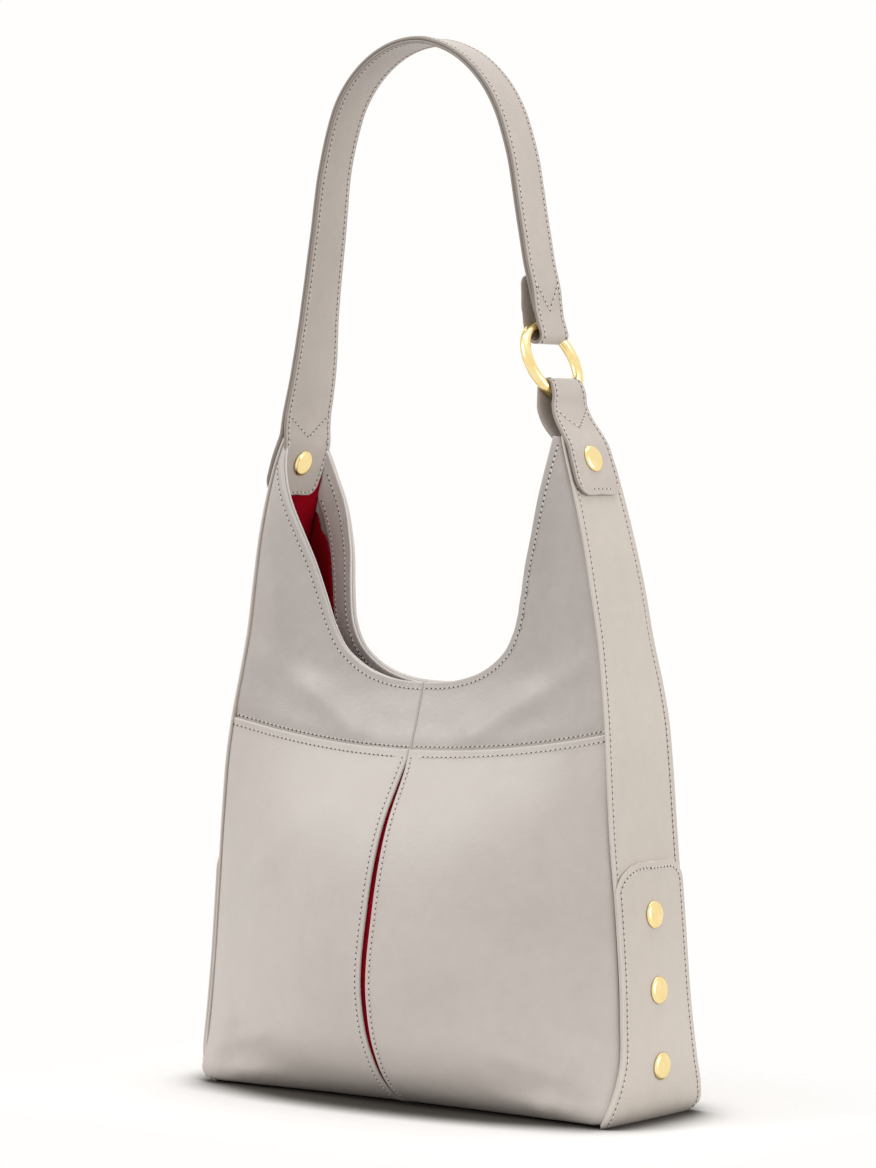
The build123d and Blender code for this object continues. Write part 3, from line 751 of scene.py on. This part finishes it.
def build_lining():
    """Suede behind the front, the back and the two sides, from just above the base up to the facing."""
    across, up = np.linspace(-1, 1, 90), np.linspace(0, 1, 90)
    v, u = np.meshgrid(up, across, indexing="ij")
    x = u * 100
    for _ in range(4):
        reach = facing_edge_at(np.linspace(0, 1, 200))
        top = np.interp(np.abs(x), reach[:, 0], reach[:, 1]) + 3 + 8 * np.clip((np.abs(x) - 74) / 12, 0, 1)
        z = LINING_FOOT_MM + v * (top - LINING_FOOT_MM)
        x = u * side_edge(z, 3.0)
    for face, way in (("front", -1), ("back", 1)):
        spots, normals = front_surface(x, z, np.full_like(x, 4.0), way)
        cloth(f"lining_{face}_suede", spots, normals, f"lining_{face}")
    v, u = np.meshgrid(np.linspace(0, 1, 120), np.linspace(-1, 1, 24), indexing="ij")
    z = LINING_FOOT_MM + v * (300 - LINING_FOOT_MM)
    middle, half = side_span(z)
    y = middle + u * (half - 1.6)
    for word, way in (("right", 1), ("left", -1)):
        spots, normals = side_surface(y, z, np.full_like(y, 2.6), way)
        cloth(f"lining_side_{word}_suede", spots, normals, f"lining_side_{word}")


def build_slit():
    """Red suede strip behind the slit, 18 mm broad."""
    v, u = np.meshgrid(np.linspace(0, 1, 80), np.linspace(-1, 1, 12), indexing="ij")
    z, x = 4.0 + v * 158, u * 9.0
    spots, normals = front_surface(x, z, np.full_like(x, 2.2))
    piece = hide("slit_inset_suede", spots, normals, SUEDE_THICK, SUEDE, 0.0006)
    keep(piece, "bag", "lining_suede", "slit_inset")


# ---- sides ----------------------------------------------------------------------------------------------
def patch_half(z, hand):
    """Half breadth of the patch, hand -1 towards the front: each top corner is a quarter ellipse."""
    broad, high = PATCH_CORNER_MM[hand]
    drop = np.clip(high - (PATCH_TOP_MM - z), 0, high)
    return side_span(z)[1] + LAP_MM + 0.3 - broad + broad * np.sqrt(1 - (drop / high) ** 2)


def build_sides():
    """Side walls with turned edges, and the patches on their lower half.

    The inset is the middle of the leather: up at the turned edges, down along the row of stitches.
    """
    over = steps(52.0, 2.2, RIM_MM) * 2 - 1
    v, u = np.meshgrid(steps(300.0, GRID_MM, RIM_MM), over, indexing="ij")
    z = 0.5 + v * (HORN_TIP_MM - 0.5)
    middle, half = side_span(z)
    y = middle + u * (half + LAP_MM)
    from_edge = (half + LAP_MM) * (1 - np.abs(u))
    inset = SIDE_MM / 2 - 0.35 * near(from_edge, 2.0) + 0.3 * near(from_edge - STITCH_INSET_MM - 0.4, 1.0)
    pv, pu = np.meshgrid(steps(117.0, 2.4, RIM_MM), over, indexing="ij")
    pz = 0.4 + pv * (PATCH_TOP_MM - 0.4)
    py = side_span(pz)[0] + pu * np.where(pu < 0, patch_half(pz, -1), patch_half(pz, 1))
    for word, way in (("right", 1), ("left", -1)):
        spots, normals = side_surface(y + 1.5 * wrap(z, way) * np.clip(-u, 0, 1), z, inset, way)
        keep(hide(f"gusset_{word}_leather", spots, normals, SIDE_MM * MM, SIDE), "bag", "side_leather",
             f"gusset_{word}", f"facing_side_{word}")
        low_y = py + 1.8 * wrap(pz, way) * np.clip(-pu, 0, 1)
        spots, normals = side_surface(low_y, pz, np.full_like(py, -0.6), way)
        keep(hide(f"side_patch_{word}_leather", spots, normals, PATCH_THICK, SIDE), "bag", "side_leather",
             f"side_patch_{word}", f"side_stud_backs_{word}")


def build_base():
    """The base leather, flat between the lower edges of the walls and a little waisted in the middle; its
    colour is painted dark as shade under the bag.
    """
    v, u = np.meshgrid(steps(66.0, 3.0, RIM_MM) * 2 - 1, steps(226.0, 3.0, RIM_MM) * 2 - 1, indexing="ij")
    x, y = u * 111.5, v * (31.5 - 5.5 * (1 - u**2))
    spots = np.stack([x, y, np.full_like(x, 0.8)], axis=-1) * MM
    normals = np.broadcast_to(np.array([0.0, 0.0, 1.0]), spots.shape)
    keep(hide("base_leather", spots, normals, BASE_THICK, BASE_SHADE), "bag", "side_leather", "base_panel")


# ---- strap and ring tab ---------------------------------------------------------------------------------
TILT = np.array([-np.sin(RING_TILT), np.cos(RING_TILT)])  # up along the ring's plane, in X and Z
ACROSS = np.array([np.cos(RING_TILT), np.sin(RING_TILT)])  # along the ring's axis
HALF_PLY = PLY_MM / 2 + 0.05
HOLD = WIRE_RADIUS_MM + 0.25 + PLY_MM / 2  # from the wire's centre to the middle of the leather round it
SAG = 4.0  # how much lower the wire is at the strap's edges than at its middle


def wall_x(height, inset):
    """x of a layer beside the right side wall, a distance below its outer surface."""
    return section(height)[0] + BULGE_MM - inset


# Height and shift along Y of the middle of the strap's left limb, and of the tab and the right limb.
SWAY_LEFT_MM = [(270, -2.6), (312, -2.6), (330, -1.3), (348, 0), (500, 0)]
SWAY_RIGHT_MM = [(270, -3.2), (312, -3.2), (324, -1.8), (336, 0.2), (349, 4.6), (360, 4.8), (372, 2.6),
                 (386, 0.8), (402, 0), (500, 0)]


def sway(x, height):
    """Shift along Y of the strap's or the tab's middle, in millimetres: a smooth curve of the height."""
    left, right = (through(*np.array(knots, float).T, height) for knots in (SWAY_LEFT_MM, SWAY_RIGHT_MM))
    return np.where(x < 0, left, right)


class Band:
    """A flat leather band along a line in the XZ plane, half wide at each of the line's points."""

    def __init__(self, name, line, half):
        self.line, self.half = line, half
        self.share = steps(2 * float(np.max(half)), 1.5, 1.2) * 2 - 1
        y = half[:, None] * self.share + sway(*line.T)[:, None]
        self.spots = np.stack([np.broadcast_to(line[:, :1], y.shape), y,
                               np.broadcast_to(line[:, 1:], y.shape)], axis=-1) * MM
        along = unit(np.gradient(line, axis=0))
        left = np.stack([-along[:, 1], 0 * along[:, 0], along[:, 0]], axis=1)
        self.normals = np.broadcast_to(left[:, None], self.spots.shape)
        self.piece = hide(name, self.spots, self.normals, PLY_MM * MM, STRAP, 0.0006)

    def row(self, points, inset_mm, side):
        """Points and normals of a row: points are (place along the line, place across from -1 to 1).

        Places across are shares of the half width less inset_mm; side 1 is the band's left face.
        """
        at, across = np.asarray(points, float).T
        each = np.arange(len(self.line))
        reach = np.interp(at, each, self.half - inset_mm) * across
        place = np.stack([np.interp(at, each, self.line[:, k]) for k in (0, 1)], axis=1)
        normal = np.stack([np.interp(at, each, self.normals[:, 0, k]) for k in range(3)], axis=1) * side
        spots = np.stack([place[:, 0], reach + sway(*place.T), place[:, 1]], axis=1) * MM
        return spots + normal * PLY_MM / 2 * MM, normal

    def place(self, height, first, last):
        """Place along the line, between two of its points, where it has a height."""
        part = self.line[first:last, 1]
        order = np.argsort(part)
        return np.interp(height, part[order], np.arange(first, last)[order])

    def edge_rows(self, start, stop, side, inset_mm=2.3):
        """Rows along both edges."""
        at = np.linspace(start, stop, int(abs(stop - start)) + 2)
        return [self.row(np.stack([at, np.full_like(at, hand)], axis=1), inset_mm, side)
                for hand in (-1, 1)]

    def vee(self, tip, top, side, inset_mm=2.3):
        """A V of stitches, its tip at one place along the line and its arms' ends at another."""
        t = np.linspace(-1, 1, 41)
        return self.row(np.stack([tip + (top - tip) * np.abs(t), t], axis=1), inset_mm, side)

    def foot_row(self, at, reach, side, inset_mm=2.3):
        """A short row across the band near one of its ends."""
        t = np.linspace(-reach, reach, 21)
        return self.row(np.stack([np.full_like(t, at), t], axis=1), inset_mm, side)


def rounded(run, half, start_round, stop_round):
    """Half widths with rounded corners at both ends of a line."""
    def corner(distance, radius):
        into = np.clip(radius - distance, 0, radius)
        return radius - np.sqrt(np.clip(radius**2 - into**2, 0, None))

    return half - corner(run, start_round) - corner(run[-1] - run, stop_round)


def dense(points, step=1.1, edge=1.3):
    """A smooth line through points with even steps, and closer ones at both ends."""
    knots = lengths(points)
    fine = through(knots, points, np.linspace(0, knots[-1], 60 * len(points)))
    run = lengths(fine)
    at = steps(run[-1], step, edge) * run[-1]
    return np.stack([np.interp(at, run, fine[:, k]) for k in range(2)], axis=1), at


def beside(line, gap):
    """A line moved sideways by a gap, to its left."""
    along = unit(np.gradient(line, axis=0))
    return line + gap * np.stack([-along[:, 1], along[:, 0]], axis=1)


def arc_points(centre, radius, start, stop, count):
    """Points on a circle in the XZ plane between two angles in degrees."""
    angle = np.radians(np.linspace(start, stop, count))
    return centre + radius * np.stack([np.cos(angle), np.sin(angle)], axis=1)


def strap_half(line, low_half):
    """Half width of the strap: as given by low_half on the left horn, narrowing up the left limb."""
    up = np.array(low_half + [(318, 16.9), (327, 16.5), (346, 15.3), (365, 13.5), (383, 12.7), (402, 12.2),
                              (421, 11.6), (440, 10.9), (600, 10.9)], float)
    return np.where(line[:, 0] < -20, np.interp(line[:, 1], up[:, 0], up[:, 1]), STRAP_HALF_MM)


OUTER_GAP = -(0.3 + PLY_MM / 2)  # from the wall's outer surface to the middle of the leaf outside it
INNER_GAP = SIDE_MM + 1.3 + PLY_MM / 2  # and to the middle of the leaf inside it


def build_strap():
    """The strap's outer ply goes round the ring and comes back up inside; the inner ply lies under it."""
    wire = RING_CENTRE_MM + RING_RADIUS_MM * TILT
    low_wire = wire - SAG * TILT
    tilt = np.degrees(RING_TILT)
    crown, _ = dense(STRAP_LINE_MM, 3.0, 3.0)
    crown = crown[(crown[:, 0] < 0) | (crown[:, 1] > 372)]
    heights = np.array([282.0, 290, 298, 305, 310.5])
    leaf_out = np.stack([-wall_x(heights, OUTER_GAP), heights], axis=1)
    tail = np.array([wire - (HOLD + 0.3) * ACROSS, (50.9, 366.5), (51.7, 374), (52.2, 382.5)])
    outer_line = np.concatenate([leaf_out, [(-82.6, 316)], beside(crown, HALF_PLY)[1::4],
                                 [wire + (HOLD + 0.9) * ACROSS + 1.5 * TILT],
                                 arc_points(low_wire, HOLD, tilt, tilt - 180, 9), tail])
    line, run = dense(outer_line)
    half = rounded(run, strap_half(line, [(270, 18.4), (300, 18.0), (310, 17.0)]), 9.0, 4.0)
    half = np.where((line[:, 0] > 40) & (line[:, 1] < 366), half - 0.3, half)
    outer = Band("strap_outer_leather", line, half)
    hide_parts("strap_outer", "strap_end_outer")
    bottom = int(np.argmin(line[:, 1] + 1000 * (line[:, 0] < 40)))
    top = int(np.argmax(line[:, 1]))
    joint = int(np.argmin(np.abs(line[:top, 1] - 320)))
    rows = outer.edge_rows(joint, bottom - 2, 1)
    rows += outer.edge_rows(6, joint, 1, 2.6) + [outer.foot_row(6, 0.5, 1, 6.0)]
    rows += outer.edge_rows(bottom + 8, len(line) - 6, 1)
    rows.append(outer.vee(outer.place(366.5, top, bottom), outer.place(379, top, bottom), 1))

    leaf_heights = np.array([281.5, 290, 298, 304.5])
    leaf_in = np.stack([-wall_x(leaf_heights, INNER_GAP), leaf_heights], axis=1)
    inner_line = np.concatenate([leaf_in, [(-80.7, 315)], beside(crown, -HALF_PLY)[1::4],
                                 [(56.9, 371), (57.6, 366)]])
    line, run = dense(inner_line)
    half = strap_half(line, [(281, 13.2), (286, 14.8), (292, 16.2), (299, 16.9), (308, 17.0)])
    inner = Band("strap_inner_leather", line, rounded(run, half, 5.0, 0.5))
    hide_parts("strap_inner", "strap_end_inner")
    top = int(np.argmax(line[:, 1]))
    rows += inner.edge_rows(4, len(line) - 4, -1) + [inner.foot_row(5, 0.9, -1)]
    rows.append(inner.vee(inner.place(308.8, 0, top), inner.place(319.5, 0, top), -1))
    for piece in (outer.piece, inner.piece, *sew("strap_seams", rows, None)):
        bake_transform(piece)


# Height and half width of the tab's leaf outside the horn and of the one inside it.
TAB_OUTER_HALF_MM = [(276, 17.0), (290, 16.8), (300, 16.4), (310, 15.6), (318, 14.4), (326, 12.8),
                     (334, 12.0)]
TAB_INNER_HALF_MM = [(281, 11.5), (292, 13.6), (300, 14.6), (312, 15.4), (322, 14.6), (334, 12.0)]


def build_tab():
    """The ring tab: one strip from the outside of the right horn, round the ring's wire, to the inside."""
    wire = RING_CENTRE_MM - RING_RADIUS_MM * TILT
    high_wire = wire + (SAG + 0.6) * TILT
    tilt = np.degrees(RING_TILT)
    heights = np.array([282.0, 290, 298, 304.5])
    outside = np.stack([wall_x(heights, OUTER_GAP), heights], axis=1)
    heights = np.array([303.0, 298, 290, 281.5])
    inside = np.stack([wall_x(heights, INNER_GAP), heights], axis=1)
    neck_out = np.array([(81.3, 310.5), (76.8, 316.5), (73.9, 322.5)])
    neck_in = np.array([(66.6, 321.8), (69.8, 315.6), (75.0, 309.6)])
    line, run = dense(np.concatenate([outside, neck_out, [wire + HOLD * ACROSS],
                                      arc_points(high_wire, HOLD, tilt, tilt + 180, 9),
                                      [wire - (HOLD + 1.0) * ACROSS], neck_in, inside]), 0.9)
    height = line[:, 1]
    outer_side = run < run[-1] / 2
    wide = np.interp(height, *np.array(TAB_OUTER_HALF_MM, float).T)
    slim = np.interp(height, *np.array(TAB_INNER_HALF_MM, float).T)
    half = rounded(run, np.where(outer_side, wide, slim), 8.0, 5.0)
    tab = Band("ring_tab_leather", line, half)
    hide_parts("ring_tab_outer", "ring_tab_inner", "ring_tab_loop")
    crest = int(np.argmax(height))
    rows = tab.edge_rows(7, crest + 2, -1) + [tab.foot_row(6.5, 0.62, -1)]
    rows += tab.edge_rows(crest + 12, len(line) - 6, -1)
    rows.append(tab.vee(tab.place(312, 0, crest), tab.place(320.5, 0, crest), -1))
    for piece in (tab.piece, *sew("ring_tab_seams", rows, None)):
        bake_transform(piece)


def build_ring():
    """The ring: a circle of round wire, whose plane holds Y and leans by the tilt."""
    long, round_wire = 120, 36
    turn, around = np.meshgrid(np.linspace(0, 2 * np.pi, long, endpoint=False),
                               np.linspace(0, 2 * np.pi, round_wire, endpoint=False), indexing="ij")
    radius = (RING_RADIUS_MM + WIRE_RADIUS_MM * np.cos(around))[..., None]
    up = np.array([TILT[0], 0, TILT[1]])
    plane = np.cos(turn)[..., None] * np.array([0, 1, 0]) + np.sin(turn)[..., None] * up
    axis = np.array([ACROSS[0], 0, ACROSS[1]])
    centre = np.array([RING_CENTRE_MM[0], 0, RING_CENTRE_MM[1]])
    verts = (centre + radius * plane + (WIRE_RADIUS_MM * np.sin(around))[..., None] * axis) * MM
    i, j = np.meshgrid(np.arange(long), np.arange(round_wire), indexing="ij")
    here, ahead = i * round_wire, (i + 1) % long * round_wire
    a, b, c, d = here + j, ahead + j, ahead + (j + 1) % round_wire, here + (j + 1) % round_wire
    quads = np.stack([a, b, c, d], axis=-1).reshape(-1, 4)
    keep(add_mesh("ring_wire", verts.reshape(-1, 3), quads, GOLD), "ring", "gold_metal", "ring")


# ---- studs ----------------------------------------------------------------------------------------------
STUD_PROFILE_MM = [  # radius and height, from the middle of the cap round its rim to the middle below
    (0.01, 1.72), (2.5, 1.70), (4.4, 1.62), (5.0, 1.52), (5.35, 1.38), (5.8, 1.05), (6.15, 0.72),
    (6.25, 0.5), (6.2, 0.28), (6.0, 0.1), (5.0, 0.0), (0.01, 0.0),
]
ROUND_SEGMENTS = 56


def stud_at(spot, normal):
    """A flat-domed cap with a bevelled rim, seated on a spot."""
    return lathe(np.array(STUD_PROFILE_MM) * MM, spot, normal, ROUND_SEGMENTS)


def build_studs():
    """Three caps on each side, and a cap on both faces of each horn."""
    for word, way in (("right", 1), ("left", -1)):
        z = np.array(SIDE_STUDS_MM)
        spots, normals = side_surface(0 * z, z, np.full_like(z, -1.3), way)
        verts, faces = merge([stud_at(s, n) for s, n in zip(spots, normals)])
        keep(add_mesh(f"side_stud_caps_{word}", verts, faces, GOLD), "bag", "gold_metal",
             f"side_studs_{word}")
    z = np.array([HORN_STUD_MM])
    for word, way in (("tab", 1), ("strap", -1)):
        y = sway(way * z, z) - (0.9 if way < 0 else 0)
        spots, normals = side_surface(y, z, np.array([-0.2 - PLY_MM]), way)
        verts, faces = stud_at(spots[0], normals[0])
        keep(add_mesh(f"{word}_stud_cap", verts, faces, GOLD), "bag", "gold_metal", f"{word}_rivet")
        spots, normals = side_surface(y, z, np.array([INNER_GAP + PLY_MM / 2 - 0.1]), way)
        verts, faces = stud_at(spots[0], -normals[0])
        keep(add_mesh(f"{word}_stud_inner_cap", verts, faces, GOLD), "bag", "gold_metal",
             f"{word}_rivet_cap")


def build_snap():
    """The magnetic snap: a hollowed disc inside the front, and a button inside the back."""
    z = np.array([181.0])
    for word, way, dome in (("socket", -1, (3.2, 0.8)), ("button", 1, (2.8, 2.7))):
        spots, normals = front_surface(0 * z, z, np.array([3.45]), way)
        radius, high = dome
        profile = [(0.01, high), (radius - 0.3, high), (radius, high - 0.2), (radius + 0.2, 1.6),
                   (7.2, 1.5), (7.9, 1.1), (8.0, 0.4), (7.9, 0.0), (0.01, 0.0)]
        verts, faces = lathe(np.array(profile) * MM, spots[0], -normals[0], ROUND_SEGMENTS)
        keep(add_mesh(f"magnetic_snap_{word}_disc", verts, faces, GOLD), "bag", "gold_metal",
             f"magnetic_snap_{word}")


# ---- seams of the walls ---------------------------------------------------------------------------------
def inward(points, distance):
    """A line in the XZ plane moved sideways, to its right."""
    return beside(points, -distance)


def wall_rows():
    """Stitch rows on the front and the back: rim, both sides of the yoke seam, and the slit."""
    rows = []
    seam = np.linspace(0.6, 110.0, 90)
    for way in (-1, 1):
        for hand in (1, -1):
            flip = np.array([hand, 1, 1])
            rim_in = inward(neckline_at(np.linspace(0.0, 0.985, 160), hand), STITCH_INSET_MM)

            def lay(x, z, inset):
                spots, normals = front_surface(x, z, inset, way)
                rows.append((spots * flip, normals * flip))

            keep_in = rim_in[rim_in[:, 0] < side_edge(rim_in[:, 1], 2.5)]
            lay(keep_in[:, 0], keep_in[:, 1], yoke_inset(keep_in[:, 0], keep_in[:, 1], False) - 1.0)
            over = seam_height(seam) + 1.5
            lay(seam[:-1], over[:-1], yoke_inset(seam[:-1], over[:-1], False) - 1.0)
            under = seam_height(seam) - 3.4
            start = 5 if way == -1 else 0
            flat = panel_inset(seam, under, lambda height: 0 * height - 99)
            lay(seam[start:-1], under[start:-1], flat[start:-1] - 1.0)
            if way == -1:
                z = np.linspace(4.0, 160.0, 90)
                x = slit_edge(z) + 2.5
                lay(x, z, panel_inset(x, z, slit_edge) - 1.0)
    return rows


def facing_rows():
    """Stitch rows on the inner face of the facing: near the rim and along the lower edge."""
    rows = []
    along = np.linspace(0.02, 0.97, 160)
    for hand in (1, -1):
        for line in (inward(neckline_at(along, hand), 4.0), inward(facing_edge_at(along), -2.0)):
            line = line[line[:, 0] < side_edge(line[:, 1], 4.5)]
            for way in (-1, 1):
                spots, normals = front_surface(line[:, 0], line[:, 1], np.full(len(line), 3.5), way)
                flip = np.array([hand, 1, 1])
                rows.append((spots * flip, -normals * flip))
    return rows


def side_rows():
    """Stitch rows on the side walls and the patches."""
    rows = []
    for way in (1, -1):
        z = np.linspace(PATCH_TOP_MM - 7, HORN_TIP_MM - 2, 150)
        middle, half = side_span(z)
        for hand in (1, -1):
            y = middle + hand * (half + LAP_MM - STITCH_INSET_MM)
            rows.append(side_surface(y, z, np.full_like(z, 0.15), way))
        for hand in (1, -1):
            broad, high = PATCH_CORNER_MM[hand]
            z = np.linspace(1.5, PATCH_TOP_MM - high, 70)
            y = patch_half(z, hand) - STITCH_INSET_MM
            bend = np.radians(np.linspace(4, 90, 24))
            flat = patch_half(np.array(PATCH_TOP_MM), hand)
            corner_y = flat + (broad - STITCH_INSET_MM) * np.cos(bend)
            corner_z = PATCH_TOP_MM - high + (high - STITCH_INSET_MM) * np.sin(bend)
            y = hand * np.concatenate([y[:-1], corner_y, [0.4]])
            z = np.concatenate([z[:-1], corner_z, [PATCH_TOP_MM - STITCH_INSET_MM]])
            rows.append(side_surface(side_span(z)[0] + y, z, np.full_like(y, -1.32), way))
    return rows


# ---- all pieces -----------------------------------------------------------------------------------------
build_panels()
build_yokes()
build_facing()
build_lining()
build_slit()
build_sides()
build_base()
build_strap()
build_tab()
build_ring()
build_studs()
build_snap()
sew("wall_seams", wall_rows(), "bag", "front_leather")
sew("facing_seams", facing_rows(), "bag", "strap_leather")
sew("side_seams", side_rows(), "bag", "side_leather")


# ---- floor, surround, light and camera ------------------------------------------------------------------
FLOOR = -0.0004  # height of the floor, just under the base
FLOOR_REACH = 0.7
SENSOR_MM, LENS_MM = 36.0, 125.1339
CAMERA_PLACE = (1.16002, -1.50479, 0.29330)
CAMERA_YAW, CAMERA_PITCH = 0.6582, 0.028  # turn round Z and tilt below the level, in radians
LAMP_AIM = (0, 0, 0.2)


def build_floor():
    """A wide pale floor with a painted contact shadow, dark where the bag is close above it, that fades away
    round the bag.
    """
    material, shader, add, join = new_material("studio_floor")
    shader.inputs["Roughness"].default_value = 0.9
    shader.inputs["Specular IOR Level"].default_value = 0.1
    place = add("ShaderNodeTexCoord")
    size, past, beyond, away = (add("ShaderNodeVectorMath", operation=kind)
                                for kind in ("ABSOLUTE", "SUBTRACT", "MAXIMUM", "LENGTH"))
    past.inputs[1].default_value = (0.125, 0.075, 1.0)
    fade = ramp(add, (0, 0, 0), (1, 1, 1), 0.0, 0.09)
    # Ambient occlusion darkens the floor's colour near the bag: a painted contact shadow.
    contact = add("ShaderNodeAmbientOcclusion", Distance=0.03, samples=12)
    painted_contact_shadow = ramp(add, (0.10, 0.09, 0.08), (0.97, 0.96, 0.95), 0.50, 0.94)
    join(contact.outputs["AO"], painted_contact_shadow.inputs["Fac"])
    join(painted_contact_shadow.outputs["Color"], shader.inputs["Base Color"])
    clear, blend = add("ShaderNodeBsdfTransparent"), add("ShaderNodeMixShader")
    join(place.outputs["Object"], size.inputs[0])
    join(size.outputs["Vector"], past.inputs[0])
    join(past.outputs["Vector"], beyond.inputs[0])
    join(beyond.outputs["Vector"], away.inputs[0])
    join(away.outputs["Value"], fade.inputs["Fac"])
    join(fade.outputs["Color"], blend.inputs["Fac"])
    join(shader.outputs["BSDF"], blend.inputs[1])
    join(clear.outputs["BSDF"], blend.inputs[2])
    join(blend.outputs["Shader"], material.node_tree.nodes["Material Output"].inputs["Surface"])
    corners = np.array([(x * FLOOR_REACH, y * FLOOR_REACH, FLOOR)
                        for x, y in ((-1, -1), (1, -1), (1, 1), (-1, 1))])
    add_mesh("studio_floor", corners, np.array([[0, 1, 2, 3]]), material, smooth=False)


def build_surround():
    """A pale surround, seen at full strength by camera and glossy rays, that lights the bag with less."""
    world = bpy.data.worlds.new("studio")
    world.use_nodes = True
    nodes, links = world.node_tree.nodes, world.node_tree.links
    seen, ray, mix = (nodes.new(f"ShaderNode{kind}") for kind in ("Background", "LightPath", "MixShader"))
    either = nodes.new("ShaderNodeMath")
    either.operation = "MAXIMUM"
    seen.inputs["Color"].default_value = (1.0, 0.99, 0.975, 1)
    seen.inputs["Strength"].default_value = 1.0
    nodes["Background"].inputs["Color"].default_value = (1.0, 0.985, 0.97, 1)
    nodes["Background"].inputs["Strength"].default_value = 0.64
    links.new(ray.outputs["Is Camera Ray"], either.inputs[0])
    links.new(ray.outputs["Is Glossy Ray"], either.inputs[1])
    links.new(either.outputs["Value"], mix.inputs["Fac"])
    links.new(nodes["Background"].outputs["Background"], mix.inputs[1])
    links.new(seen.outputs["Background"], mix.inputs[2])
    links.new(mix.outputs["Shader"], nodes["World Output"].inputs["Surface"])
    bpy.context.scene.world = world


def soft_panel(name, place, size, power):
    """A rectangular lamp that faces the bag."""
    data = bpy.data.lights.new(name, "AREA")
    data.shape, data.size, data.size_y, data.energy = "RECTANGLE", size[0], size[1], power
    lamp = bpy.data.objects.new(name, data)
    bpy.context.scene.collection.objects.link(lamp)
    lamp.location = place
    way = Vector(LAMP_AIM) - Vector(place)
    lamp.rotation_euler = way.to_track_quat("-Z", "Y").to_euler()


def build_camera():
    """A long lens a little above the middle of the bag, to the right of its front."""
    data = bpy.data.cameras.new("camera")
    data.sensor_width, data.lens = SENSOR_MM, LENS_MM
    data.clip_end = 100
    camera = bpy.data.objects.new("camera", data)
    bpy.context.scene.collection.objects.link(camera)
    camera.location = CAMERA_PLACE
    camera.rotation_euler = (np.pi / 2 - CAMERA_PITCH, 0, CAMERA_YAW)
    bpy.context.scene.camera = camera
    bpy.context.scene.view_settings.view_transform = "Standard"


build_floor()
build_surround()
soft_panel("key_left", (-1.3, -1.5, 1.5), (1.0, 1.2), 19)
soft_panel("fill_right", (1.9, 0.3, 0.5), (0.9, 1.2), 15)
soft_panel("top_soft", (0.0, 0.3, 2.0), (1.6, 1.6), 14)
build_camera()

bpy.context.view_layer.update()
